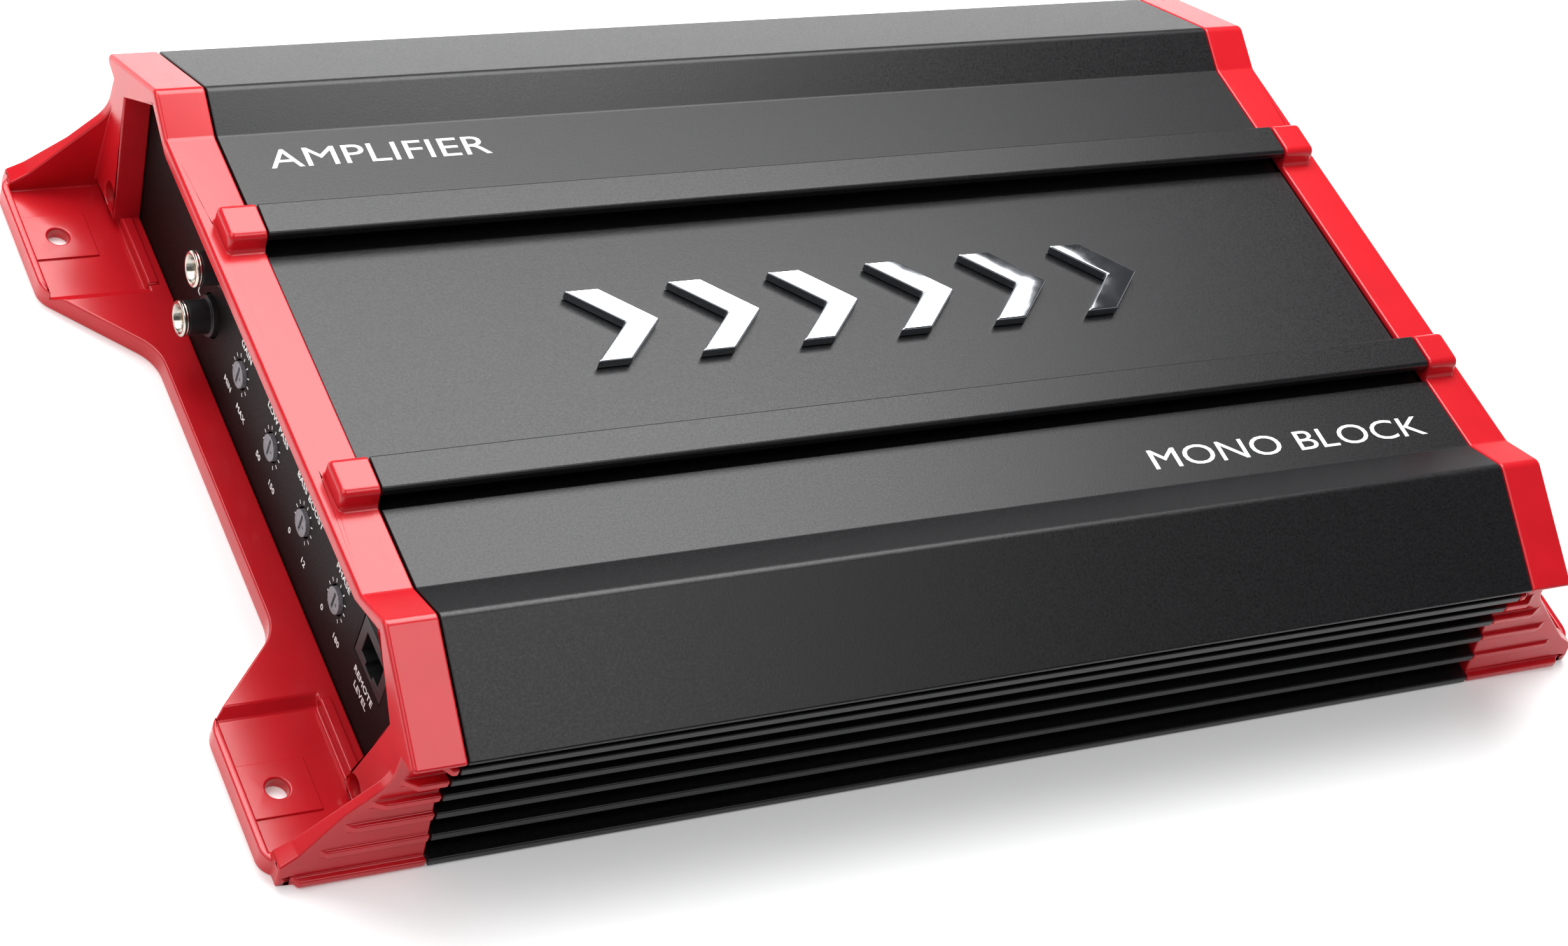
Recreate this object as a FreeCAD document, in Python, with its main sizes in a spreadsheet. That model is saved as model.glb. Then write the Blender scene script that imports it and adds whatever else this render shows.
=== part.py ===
import FreeCAD, Part
import math
import os
import re
import Sketcher
from FreeCAD import Placement, Rotation, Vector

# Monoblock car amplifier: a finned aluminium extrusion closed by two moulded end caps,
# with a control panel at the left end (-X) and a power panel at the right end (+X).
# Origin: centre of the footprint, on the plane that the feet stand on.
# +X along the extrusion, +Y to the back, +Z up. Millimetres.

# Driving sizes: name, value, what it is.
SIZES = (
    ("heatsink_length", 280, "extrusion, cut length"),
    ("overall_width", 212.6, "across the two sharp side edges"),
    ("shoulder_height", 51.7, "top of the two raised shoulders"),
    ("heatsink_bottom", 0.4, "underside of the side walls above the feet plane"),
    ("shoulder_inset", 28, "shoulder from the side edge"),
    ("deck_inset", 39.1, "start of the flat deck from the side edge"),
    ("deck_drop", 5.0, "front and back deck below the shoulders"),
    ("middle_drop", 6.2, "middle deck below the shoulders"),
    ("edge_drop", 14.4, "side edge below the shoulders"),
    ("shoulder_round", 2.6, "shoulder radius"),
    ("edge_round", 0.6, "side edge radius"),
    ("skin", 3.4, "top skin thickness"),
    ("fin_root_inset", 8.8, "outside of the side wall from the side edge"),
    ("wall_thickness", 3.0, "side wall"),
    ("fin_thickness", 2.0, "side fin"),
    ("waist_inset", 4.4, "fin tips from the side edge at the narrowest height"),
    ("waist_height", 17.5, "height where the fin tips are furthest in"),
    ("waist_radius", 42.5, "radius of the hollow that the fin tips follow"),
    ("rear_lip_y", 41.0, "back of the rear raised lip"),
    ("front_lip_y", -34.6, "back of the front raised lip"),
    ("lip_width", 9.2, "lip, front to back"),
    ("lip_web", 5.0, "solid part under the lip"),
    ("lip_drop", 0.3, "lip top below the shoulders"),
    ("lip_tip", 2.4, "lip tip thickness"),
    ("lip_round", 1.0, "lip tip radius"),
    ("lip_gutter", 1.0, "gutter below the middle deck under the lip"),
    ("port_y_inset", 17.8, "screw channel from the side edge"),
    ("port_height", 8.5, "screw channel height"),
    ("port_bore", 2.7, "screw channel bore"),
    ("ledge_inset", 21.8, "inner side of the board ledge from the side edge"),
    ("ledge_height", 14.0, "top of the board ledge"),
    ("cover_bottom", 2.0, "underside of the bottom cover"),
    ("cover_thickness", 1.2, "bottom cover sheet"),
    ("cover_gap", 0.3, "bottom cover to walls"),
    ("cap_gap", 0.4, "extrusion to end cap"),
    ("frame_width", 12.1, "end cap frame along X"),
    ("frame_wall", 3.4, "frame thickness over the panel"),
    ("recess_depth", 6.9, "panel face behind the frame face"),
    ("opening_bottom_half", 83.6, "half width of the panel opening at the floor"),
    ("opening_side_inset", 14.0, "widest part of the opening from the side edge"),
    ("opening_side_height", 36.0, "height of the widest part of the opening"),
    ("panel_thickness", 2.0, "end panel"),
    ("panel_rebate", 1.6, "ledge of the cap that overlaps the panel"),
    ("panel_gap", 0.2, "panel edge to cap"),
    ("floor_height", 5.0, "top of the cap floor"),
    ("foot_floor", 2.8, "floor of the sunk foot pads"),
    ("foot_length", 35.1, "cap length along X at the feet"),
    ("strip_length", 13.6, "cap length along X in the middle"),
    ("foot_start", 64.0, "inner end of each foot from the centre"),
    ("strip_end", 42.0, "where the middle strip starts to widen"),
    ("foot_rim", 1.9, "raised rim round the foot pad"),
    ("side_inset", 5.9, "cap side wall from the side edge"),
    ("side_wall", 2.6, "cap side wall thickness"),
    ("wing_top", 26.0, "wing height at the frame"),
    ("wing_end", 8.0, "wing height at the outer end"),
    ("wing_round", 9.0, "hollow where the wing meets the frame"),
    ("skirt_flare", 3.0, "wing foot flare"),
    ("skirt_height", 17.0, "height of the wing flare"),
    ("rib_reach", 31.5, "lowest cap rib along X"),
    ("rib_step", 5.4, "each higher rib is shorter by this"),
    ("rib_taper", 5.0, "length over which a rib fades"),
    ("nub_length", 9.0, "lip end on the cap along X"),
    ("foot_hole_x", 26.0, "foot hole from the extrusion end"),
    ("foot_hole_y", 81.5, "foot hole from the centre line"),
    ("foot_hole_bore", 5.2, "foot hole bore"),
    ("screw_head", 5.6, "M3 pan head diameter"),
    ("screw_head_height", 1.6, "M3 pan head height"),
    ("screw_shank", 2.6, "M3 screw core diameter"),
    ("board_thickness", 1.6, "circuit boards"),
    ("board_gap", 0.5, "board edge to walls"),
    ("control_board_depth", 12.4, "control board behind the left panel"),
    ("main_board_setback", 22.0, "main board edge behind the left panel"),
    ("main_board_end", 13.0, "main board edge behind the right panel"),
    ("jack_y", 37.8, "signal jacks"),
    ("jack_low", 19.3, "lower signal jack height"),
    ("jack_pitch", 16.0, "signal jack spacing"),
    ("jack_radius", 4.25, "jack ring radius"),
    ("jack_reach", 7.8, "jack in front of the panel"),
    ("jack_block", 6.0, "jack housing beyond each jack's middle"),
    ("jack_wall", 0.5, "jack barrel wall round the metal"),
    ("jack_metal", 0.4, "jack shell metal"),
    ("jack_ring", 1.5, "bare metal ring at the jack's mouth"),
    ("jack_collar", 1.2, "collar at the jack's root"),
    ("jack_pin", 1.6, "jack centre contact outer radius"),
    ("jack_pin_bore", 1.1, "jack centre contact bore radius"),
    ("knob_y", 17.2, "first trimmer"),
    ("knob_pitch", 22.0, "trimmer spacing"),
    ("knob_height", 21.7, "trimmer height"),
    ("knob_radius", 3.1, "trimmer face radius"),
    ("knob_proud", 0.8, "trimmer face in front of the panel"),
    ("shaft_radius", 1.5, "trimmer shaft radius"),
    ("shaft_length", 3.6, "trimmer shaft"),
    ("slot_width", 0.9, "trimmer screwdriver slot, width and depth"),
    ("pot_width", 9.6, "trimmer body along Y"),
    ("pot_tall", 11.0, "trimmer body along Z"),
    ("hole_gap", 0.4, "clearance round a trimmer in the panel"),
    ("window_gap", 0.2, "clearance round a connector in the panel"),
    ("turning_gap", 0.05, "radial gap of turning fits"),
    ("socket_y", -69.0, "remote socket"),
    ("socket_height", 26.4, "remote socket height"),
    ("socket_width", 15.6, "remote socket width"),
    ("socket_tall", 11.6, "remote socket height of its face"),
    ("socket_mouth", 10.0, "remote socket mouth width"),
    ("socket_pitch", 1.27, "remote socket contact spacing"),
    ("socket_wire", 0.4, "remote socket contact wire"),
    ("power_y", -43.0, "power terminals"),
    ("power_pitch", 15.0, "power terminal spacing"),
    ("power_bore", 8.6, "power cable entry"),
    ("speaker_y", 55.0, "speaker terminals"),
    ("speaker_pitch", 13.0, "speaker terminal spacing"),
    ("speaker_bore", 6.2, "speaker cable entry"),
    ("terminal_bottom", 6.5, "underside of the terminal blocks"),
    ("terminal_tall", 21.0, "terminal block height"),
    ("terminal_reach", 16.0, "terminal block in front of the panel"),
    ("clamp_screw_radius", 2.9, "terminal clamp screw"),
    ("clamp_inset", 4.8, "clamp screw behind the terminal face"),
    ("clamp_wall", 1.6, "clamp metal beside the cable entry"),
    ("clamp_tall", 14.8, "clamp metal height"),
    ("fuse_y", 6.0, "middle fuse"),
    ("fuse_pitch", 9.0, "fuse spacing"),
    ("fuse_height", 24.5, "fuse centre height"),
    ("fuse_tall", 19.1, "fuse body along Z"),
    ("fuse_thick", 5.0, "fuse body along Y"),
    ("fuse_deep", 11.0, "fuse body along X"),
    ("blade_width", 5.2, "fuse blade width"),
    ("blade_thickness", 0.65, "fuse blade thickness"),
    ("blade_length", 7.0, "fuse blade length"),
    ("blade_gap", 0.08, "fuse blade to contact"),
    ("contact_reach", 1.4, "outside of a fuse contact from the blade's middle"),
    ("seat_gap", 0.4, "fuse body to its seat"),
    ("light_y", 82.0, "status lights"),
    ("light_pitch", 10.0, "status light spacing"),
    ("light_radius", 1.5, "status light lens radius"),
    ("emblem_pitch", 26.4, "emblem chevron spacing"),
    ("emblem_width", 20.0, "emblem chevron width"),
    ("emblem_depth", 22.0, "emblem chevron front to back"),
    ("emblem_arm", 8.6, "emblem chevron arm along X"),
    ("emblem_height", 2.6, "emblem above the deck"),
    ("transistor_pitch", 24.0, "transistor spacing"),
    ("transistor_bottom", 19.0, "transistor body underside"),
    ("transistor_width", 10.2, "transistor body width"),
    ("transistor_tall", 15.6, "transistor body height"),
    ("transistor_deep", 4.4, "transistor body depth"),
    ("pad_thickness", 0.4, "insulating pad"),
    ("lead_pitch", 2.54, "transistor lead spacing"),
    ("lead_width", 0.8, "transistor lead width"),
    ("lead_thickness", 0.5, "transistor lead thickness"),
    ("bar_height", 26.0, "clamp bar centre, level with a fin"),
    ("bar_width", 8.0, "clamp bar along Z"),
    ("bar_thickness", 3.0, "clamp bar"),
    ("toroid_radius", 25.0, "toroid winding outer radius"),
    ("toroid_bore", 9.0, "toroid winding inner radius"),
    ("toroid_tall", 21.0, "toroid winding height"),
    ("toroid_y", 38.0, "toroid centre from the centre line"),
    ("can_radius", 8.0, "filter capacitor radius"),
    ("can_tall", 24.0, "filter capacitor height"),
    ("can_pitch", 18.5, "filter capacitor spacing"),
)

# Places worked out from the driving sizes.
PLACES = {
    "half_length": "heatsink_length / 2",
    "edge_y": "overall_width / 2",
    "edge_z": "shoulder_height - edge_drop",
    "shoulder_y": "edge_y - shoulder_inset",
    "deck_y": "edge_y - deck_inset",
    "deck_z": "shoulder_height - deck_drop",
    "middle_z": "shoulder_height - middle_drop",
    "lip_z": "shoulder_height - lip_drop",
    "root_y": "edge_y - fin_root_inset",
    "inner_y": "root_y - wall_thickness",
    "ledge_y": "edge_y - ledge_inset",
    "port_y": "edge_y - port_y_inset",
    "ceiling_z": "middle_z - skin",
    "fin_pitch": "(edge_z - heatsink_bottom) / 6",
    "cover_top": "cover_bottom + cover_thickness",
    "cap_x": "half_length + cap_gap",
    "frame_x": "cap_x + frame_width",
    "panel_x": "frame_x - recess_depth",
    "panel_back_x": "panel_x - panel_thickness",
    "foot_x": "cap_x + foot_length",
    "strip_x": "cap_x + strip_length",
    "side_y": "edge_y - side_inset",
    "wing_y": "side_y - side_wall",
    "opening_side_y": "edge_y - opening_side_inset",
    "hole_x": "half_length + foot_hole_x",
    "control_x": "panel_x - control_board_depth",
    "board_z": "ledge_height + board_thickness",
    "board_left_x": "panel_x - main_board_setback",
    "board_right_x": "panel_x - main_board_end",
    "terminal_x": "panel_x + terminal_reach",
    "terminal_top": "terminal_bottom + terminal_tall",
}
FIN_COUNT = 6
FUSE_COUNT = 3
SIDES = (1, -1)

doc = FreeCAD.newDocument("CarAmplifier")
sheet = doc.addObject("Spreadsheet::Sheet", "Sizes")
for row, (alias, size, note) in enumerate(SIZES, start=1):
    sheet.set("A%d" % row, alias)
    sheet.set("B%d" % row, str(size))
    sheet.set("C%d" % row, note)
    sheet.setAlias("B%d" % row, alias)
doc.recompute()
ALIASES = {alias for alias, size, note in SIZES}
NODES = []


def formula(text):
    """Turn a size formula into an expression on the sheet's cells."""
    def word(found):
        name = found.group()
        if name in PLACES:
            return "(" + formula(PLACES[name]) + ")"
        return "Sizes." + name if name in ALIASES else name
    return re.sub(r"[a-z_]+", word, str(text))


def number(text):
    """The value that a size formula has now, in millimetres."""
    return float(sheet.evalExpression(formula(text)))


def bind(thing, **formulas):
    """Bind properties to size formulas; a double underscore stands for a dot."""
    for name, text in formulas.items():
        thing.setExpression(name.replace("__", "."), formula(text))
    return thing


def node(thing, label):
    """Name a finished sub-part."""
    thing.Label = label
    NODES.append(thing)
    return thing


def plus(*terms):
    """Sum of formulas as one formula."""
    return " + ".join("(%s)" % term for term in terms)


def times(factor, term):
    """A formula multiplied by a plain number or formula."""
    return "(%s) * (%s)" % (factor, term)


# ---- solids from primitives ----

TURNS = {
    "x": Rotation(Vector(0, 1, 0), 90),
    "y": Rotation(Vector(1, 0, 0), -90),
    "z": Rotation(),
}


def box(name, x_low, x_high, y_low, y_high, z_low, z_high):
    thing = doc.addObject("Part::Box", name)
    bind(thing, Placement__Base__x=x_low, Placement__Base__y=y_low, Placement__Base__z=z_low)
    bind(thing, Length=plus(x_high, times(-1, x_low)), Width=plus(y_high, times(-1, y_low)))
    return bind(thing, Height=plus(z_high, times(-1, z_low)))


def rod(name, axis, radius, x, y, z, length):
    """A cylinder that starts at (x, y, z) and runs along +axis."""
    thing = doc.addObject("Part::Cylinder", name)
    thing.Placement = Placement(Vector(), TURNS[axis])
    bind(thing, Placement__Base__x=x, Placement__Base__y=y, Placement__Base__z=z)
    return bind(thing, Radius=radius, Height=length)


def fuse(name, *parts):
    thing = doc.addObject("Part::MultiFuse", name)
    thing.Shapes = list(parts)
    return thing


def group(name, parts):
    """Separate solids kept in one sub-part."""
    thing = doc.addObject("Part::Compound", name)
    thing.Links = list(parts)
    return thing


def cut(name, base, *tools):
    thing = doc.addObject("Part::Cut", name)
    thing.Base = base
    thing.Tool = tools[0] if len(tools) == 1 else fuse(name + "_tools", *tools)
    return thing


def tube(name, axis, outer, inner, x, y, z, length):
    return cut(name, rod(name + "_outer", axis, outer, x, y, z, length),
               rod(name + "_bore", axis, inner, x, y, z, length))


# ---- sketches ----

def corner_arc(before, corner, after, radius):
    """Centre, entry and exit of the arc that rounds a corner, and its turn."""
    into = (before - corner).normalize()
    out = (after - corner).normalize()
    half_turn = into.getAngle(out) / 2
    reach = radius / math.tan(half_turn)
    centre = corner + (into + out).normalize() * (radius / math.sin(half_turn))
    turn = (corner - before).cross(after - corner).z
    return centre, corner + into * reach, corner + out * reach, turn


def draw_loop(sketch, corners, rules):
    """One closed loop of straight edges; a corner is (u, v) or (u, v, radius)."""
    spots = [Vector(number(c[0]), number(c[1]), 0) for c in corners]
    count = len(corners)
    radii = [number(c[2]) if len(c) == 3 else 0 for c in corners]
    arcs = []
    for i in range(count):
        arcs.append(corner_arc(spots[i - 1], spots[i], spots[(i + 1) % count], radii[i])
                    if radii[i] else None)
    lines = []
    for i in range(count):
        after = (i + 1) % count
        start = arcs[i][2] if arcs[i] else spots[i]
        end = arcs[after][1] if arcs[after] else spots[after]
        lines.append(sketch.addGeometry(Part.LineSegment(start, end), False))
    for i, corner in enumerate(corners):
        if arcs[i]:
            pin = draw_round(sketch, lines[i - 1], lines[i], spots[i], arcs[i], corner[2], rules)
        else:
            rules.append((Sketcher.Constraint("Coincident", lines[i - 1], 2, lines[i], 1), None))
            pin = lines[i]
        pin_down(pin, 1, spots[i], corner[0], corner[1], rules)


def draw_round(sketch, line_in, line_out, spot, arc, radius, rules):
    """Round one corner with an arc tangent to both edges; return the corner point."""
    centre, entry, leave, turn = arc
    reach = (entry - centre).Length
    circle = Part.Circle(centre, Vector(0, 0, 1), reach)
    first, last = (entry, leave) if turn > 0 else (leave, entry)
    angle_first = math.atan2(first.y - centre.y, first.x - centre.x)
    angle_last = math.atan2(last.y - centre.y, last.x - centre.x)
    curve = sketch.addGeometry(Part.ArcOfCircle(circle, angle_first, angle_last), False)
    pin = sketch.addGeometry(Part.Point(spot), True)
    ends = (1, 2) if turn > 0 else (2, 1)
    rules.append((Sketcher.Constraint("Tangent", line_in, 2, curve, ends[0]), None))
    rules.append((Sketcher.Constraint("Tangent", curve, ends[1], line_out, 1), None))
    rules.append((Sketcher.Constraint("PointOnObject", pin, 1, line_in), None))
    rules.append((Sketcher.Constraint("PointOnObject", pin, 1, line_out), None))
    rules.append((Sketcher.Constraint("Radius", curve, reach), radius))
    return pin


def pin_down(geometry, end, spot, u, v, rules):
    """Hold a point at (u, v) from the sketch origin."""
    rules.append((Sketcher.Constraint("DistanceX", -1, 1, geometry, end, spot.x), u))
    rules.append((Sketcher.Constraint("DistanceY", -1, 1, geometry, end, spot.y), v))


def draw_circle(sketch, u, v, radius, rules):
    spot = Vector(number(u), number(v), 0)
    ring = sketch.addGeometry(Part.Circle(spot, Vector(0, 0, 1), number(radius)), False)
    pin_down(ring, 3, spot, u, v, rules)
    rules.append((Sketcher.Constraint("Radius", ring, number(radius)), radius))


def draw(sketch, loops, circles):
    """Draw closed loops and circles, then bind every size to its formula."""
    rules = []
    for corners in loops:
        draw_loop(sketch, corners, rules)
    for circle in circles:
        draw_circle(sketch, *circle, rules)
    held = sketch.addConstraint([rule for rule, text in rules])
    for index, (rule, text) in zip(held, rules):
        if text is not None:
            sketch.setExpression("Constraints[%d]" % index, formula(text))
    return sketch


# ---- PartDesign bodies ----
# The XZ plane faces -Y, so its offset is counted the other way.

FACING = {"XY_Plane": 1, "XZ_Plane": -1, "YZ_Plane": 1}


def new_body(name):
    return doc.addObject("PartDesign::Body", name)


def body_sketch(body, name, plane, offset, loops, circles):
    sketch = body.newObject("Sketcher::SketchObject", name + "_sketch")
    origin_plane = [f for f in body.Origin.OriginFeatures if f.Role == plane][0]
    sketch.AttachmentSupport = [(origin_plane, "")]
    sketch.MapMode = "FlatFace"
    bind(sketch, AttachmentOffset__Base__z=offset)
    return draw(sketch, loops, circles)


def pad(body, name, plane, low, high, loops, circles=()):
    """Add material between two positions on the plane's axis."""
    offset = low if FACING[plane] > 0 else times(-1, high)
    sketch = body_sketch(body, name, plane, offset, loops, circles)
    feature = body.newObject("PartDesign::Pad", name)
    feature.Profile = sketch
    return bind(feature, Length=plus(high, times(-1, low)))


def pocket(body, name, plane, low, high, loops, circles=()):
    """Remove material between two positions on the plane's axis."""
    offset = high if FACING[plane] > 0 else times(-1, low)
    sketch = body_sketch(body, name, plane, offset, loops, circles)
    feature = body.newObject("PartDesign::Pocket", name)
    feature.Profile = sketch
    return bind(feature, Length=plus(high, times(-1, low)))


def rectangle(u_low, u_high, v_low, v_high):
    return [(u_low, v_low), (u_high, v_low), (u_high, v_high), (u_low, v_high)]


def round_edges(body, name, radius, wanted):
    """Fillet the edges of the body so far that the test picks."""
    doc.recompute()
    base = body.Tip
    names = ["Edge%d" % (i + 1) for i, edge in enumerate(base.Shape.Edges) if wanted(edge)]
    if not names:
        raise RuntimeError(name + ": no edge to round")
    feature = body.newObject("PartDesign::Fillet", name)
    feature.Base = (base, names)
    return bind(feature, Radius=radius)


# ---- heatsink ----

def fin_tip(height):
    """How far out a fin reaches at a height: the tips follow a shallow hollow."""
    rise = "sqrt(waist_radius ^ 2 - (%s - waist_height) ^ 2)" % height
    return "edge_y - waist_inset + waist_radius - " + rise


def fin_bottom(index):
    return plus("heatsink_bottom", times(index, "fin_pitch"))


def side_outline(sign):
    """One side of the extrusion, from inside the deck down and out to the shoulder."""
    slope_z = "shoulder_height - (inner_y - shoulder_y) * edge_drop / shoulder_inset - skin * 1.15"
    points = [
        ("deck_y - 1", "ceiling_z"),
        ("shoulder_y", "shoulder_height - skin * 1.15"),
        ("inner_y", slope_z),
        ("inner_y", "ledge_height"),
        ("ledge_y", "ledge_height"),
        ("ledge_y", "cover_top"),
        ("inner_y", "cover_top"),
        ("inner_y", "heatsink_bottom"),
    ]
    for index in range(FIN_COUNT):
        low = fin_bottom(index)
        high = plus(low, "fin_thickness")
        reach = fin_tip(plus(low, "fin_thickness / 2"))
        points += [(reach, low), (reach, high, 0.5), ("root_y", high)]
        points.append(("root_y", fin_bottom(index + 1) if index < FIN_COUNT - 1
                       else "edge_z - 2.4"))
    points += [
        ("edge_y - 0.9", "edge_z - 1.5"),
        ("edge_y", "edge_z", "edge_round"),
        ("shoulder_y", "shoulder_height", "shoulder_round"),
        ("deck_y", "deck_z"),
    ]
    return [(times(sign, p[0]),) + tuple(p[1:]) for p in points]


def lip_outline(back, floor_after):
    """A raised lip with an overhanging front tip, from its back to the deck in front."""
    tip = "%s - lip_width" % back
    web = "%s - lip_web" % back
    return [
        (back, "deck_z" if back == "rear_lip_y" else "middle_z"),
        (back, "lip_z", 0.5),
        (tip, "lip_z - 0.4", "lip_round"),
        (tip, "lip_z - 0.4 - lip_tip", 0.7),
        (web, "lip_z - 1.2 - lip_tip"),
        (web, "middle_z - lip_gutter"),
        (tip + " - 0.6", "middle_z - lip_gutter"),
        (tip + " - 1.8", floor_after),
    ]


heatsink = new_body("Heatsink")
outline = side_outline(1)
outline += lip_outline("rear_lip_y", "middle_z")
outline += lip_outline("front_lip_y", "deck_z")
outline += reversed(side_outline(-1))
channels = [(times(s, "port_y"), "port_height", "port_bore / 2") for s in SIDES]
pad(heatsink, "extrusion", "YZ_Plane", "-half_length", "half_length", [outline], channels)

# tapped holes for the transistor clamp screws, in the root of a fin
TRANSISTORS_PER_SIDE = 6
clamp_screw_places = [times(i - 1, "transistor_pitch * 2") for i in range(3)]
for s in SIDES:
    low, high = ("inner_y - 1", "root_y + 2") if s > 0 else ("-root_y - 2", "-inner_y + 1")
    holes = [(x, "bar_height", "screw_shank / 2") for x in clamp_screw_places]
    pocket(heatsink, "clamp_holes_%d" % (s + 1), "XZ_Plane", low, high, [], holes)

# tapped holes in the board ledges: board screws from above, cover screws from below
BOARD_SCREW_X = [times(k, "half_length") for k in (-0.72, 0, 0.86)]
COVER_SCREW_X = [times(k, "half_length") for k in (-0.88, -0.3, 0.3, 0.88)]
ledge_screw_y = [times(s, "port_y") for s in SIDES]
board_holes = [(x, y, "screw_shank / 2") for x in BOARD_SCREW_X for y in ledge_screw_y]
pocket(heatsink, "board_holes", "XY_Plane", "ledge_height - 3.2", "ledge_height", [], board_holes)
cover_holes = [(x, y, "screw_shank / 2") for x in COVER_SCREW_X for y in ledge_screw_y]
pocket(heatsink, "cover_holes", "XY_Plane", "cover_top", "cover_top + 3.2", [], cover_holes)
node(heatsink, "heatsink")


# ---- fasteners ----

def screw(name, axis, x, y, z, length, towards=1):
    """Pan-head screw: (x, y, z) is under the head, the shank runs along the axis."""
    spots = {"x": x, "y": y, "z": z}
    head_spot = dict(spots)
    slot_spot = dict(spots)
    shank_spot = dict(spots)
    if towards > 0:
        head_spot[axis] = plus(spots[axis], "-screw_head_height")
        slot_spot[axis] = head_spot[axis]
    else:
        shank_spot[axis] = plus(spots[axis], times(-1, length))
        slot_spot[axis] = plus(spots[axis], "screw_head_height * 0.4")
    head = rod(name + "_head", axis, "screw_head / 2", head_spot["x"], head_spot["y"],
               head_spot["z"], "screw_head_height")
    shank = rod(name + "_shank", axis, "screw_shank / 2", shank_spot["x"], shank_spot["y"],
                shank_spot["z"], length)
    drive = cross_drive(name, axis, slot_spot)
    return cut(name, fuse(name + "_body", head, shank), drive)


def cross_drive(name, axis, spot):
    """Cross recess, 0.6 of the head deep."""
    arms = []
    for turned in (0, 1):
        spans = {"x": ("-0.35", "0.35"), "y": ("-0.35", "0.35"), "z": ("-0.35", "0.35")}
        others = [a for a in "xyz" if a != axis]
        spans[others[turned]] = ("-1.5", "1.5")
        spans[axis] = ("0", "screw_head_height * 0.6")
        ends = []
        for a in "xyz":
            ends += [plus(spot[a], spans[a][0]), plus(spot[a], spans[a][1])]
        arms.append(box("%s_arm_%d" % (name, turned), *ends))
    return fuse(name + "_cross", *arms)


# ---- bottom cover ----

cover = new_body("BottomCover")
cover_edge = "inner_y - cover_gap"
cover_outline = rectangle("-half_length + 0.5", "half_length - 0.5",
                          times(-1, cover_edge), cover_edge)
cover_clear = [(x, y, "screw_shank / 2 + 0.4") for x in COVER_SCREW_X for y in ledge_screw_y]
pad(cover, "sheet", "XY_Plane", "cover_bottom", "cover_top", [cover_outline], cover_clear)
node(cover, "bottom_cover")
cover_screws = []
for i, x in enumerate(COVER_SCREW_X):
    for j, y in enumerate(ledge_screw_y):
        cover_screws.append(screw("cover_screw_%d_%d" % (i, j), "z", x, y, "cover_bottom",
                                  "cover_thickness + 2.8"))
node(group("CoverScrews", cover_screws), "cover_screws")


# ---- end caps ----

def opening_outline(grow, bottom):
    """Hexagon-like opening that holds the panel, grown outwards by a margin."""
    half = [
        (plus("opening_bottom_half", grow), bottom),
        (plus("opening_side_y", grow), "opening_side_height"),
        (plus("shoulder_y", times(0.2, grow)), plus("shoulder_height - frame_wall * 1.12", grow)),
        (plus("deck_y - 0.6", "0"), plus("deck_z - frame_wall", grow)),
    ]
    return half + [(times(-1, y), z) for y, z in reversed(half)]


def cap_ring_outline():
    half = [
        ("side_y", "0"),
        ("side_y", "edge_z - 2.4"),
        ("edge_y - 0.9", "edge_z - 1.5"),
        ("edge_y", "edge_z", "edge_round"),
        ("shoulder_y", "shoulder_height", "shoulder_round"),
        ("deck_y", "deck_z"),
    ]
    return half + [(times(-1, p[0]),) + p[1:] for p in reversed(half)]


def cap_floor_outline():
    """Plan of the floor: a narrow strip that widens to a foot at each corner."""
    half = [
        ("-strip_x", "strip_end", 12),
        ("-foot_x", "foot_start", 7),
        ("-foot_x", "side_y + 1", 5),
        ("-cap_x", "side_y + 1"),
    ]
    return half + [(p[0], times(-1, p[1])) + p[2:] for p in reversed(half)]


def nub_outline(back):
    """End of a lip, carried on over the cap's frame."""
    return [
        (plus(back, "0.5"), "middle_z - 2"),
        (plus(back, "0.5"), "lip_z + 0.2", 1.6),
        (plus(back, "-lip_width - 0.4"), "lip_z", 2.0),
        (plus(back, "-lip_width - 0.9"), "middle_z + 2.2", 1.4),
        (plus(back, "-lip_width - 3.2"), "middle_z - 2"),
    ]


cap = new_body("LeftEndCap")
pad(cap, "floor", "XY_Plane", "0", "floor_height", [cap_floor_outline()])
pad(cap, "frame", "YZ_Plane", "-frame_x", "-cap_x", [cap_ring_outline()])

# wings: side walls with a flared foot, cut off along a sloping line
for s in SIDES:
    wing = [("wing_y", "0"), ("side_y + skirt_flare", "0"), ("side_y + skirt_flare", "2.5"),
            ("side_y", "skirt_height"), ("side_y", "edge_z - 3"), ("wing_y", "edge_z - 3")]
    pad(cap, "wing_%d" % (s + 1), "YZ_Plane", "-foot_x + 2.2", "-cap_x",
        [[(times(s, y), z) for y, z in wing]])
wing_waste = [
    ("-frame_x", "shoulder_height + 1"),
    ("-foot_x - 5", "shoulder_height + 1"),
    ("-foot_x - 5", "floor_height"),
    ("-foot_x + 2.2", "floor_height + 0.5"),
    ("-foot_x + 6", "wing_end", 5),
    ("-frame_x", "wing_top", "wing_round"),
]
pocket(cap, "wing_line", "XZ_Plane", "-edge_y - 5", "edge_y + 5", [wing_waste])

# ribs carry the fins on round the corner, each higher one shorter
for index in range(FIN_COUNT):
    low = fin_bottom(index)
    tip = fin_tip(plus(low, "fin_thickness / 2"))
    reach = plus("cap_x + rib_reach", times(-index, "rib_step"))
    rib = [("-cap_x", "wing_y + 0.5"), ("-cap_x", tip),
           (plus(times(-1, reach), "rib_taper * 0.6"), tip),
           (times(-1, reach), "side_y"), (times(-1, reach), "wing_y + 0.5")]
    loops = [rib, [(x, times(-1, y)) for x, y in rib]]
    pad(cap, "rib_%d" % index, "XY_Plane", low, plus(low, "fin_thickness"), loops)

# lip ends on top of the frame
for name, back in (("rear_nub", "rear_lip_y"), ("front_nub", "front_lip_y")):
    pad(cap, name, "YZ_Plane", "-cap_x - nub_length", "-cap_x", [nub_outline(back)])
nub_end = "-cap_x - nub_length"


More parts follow.
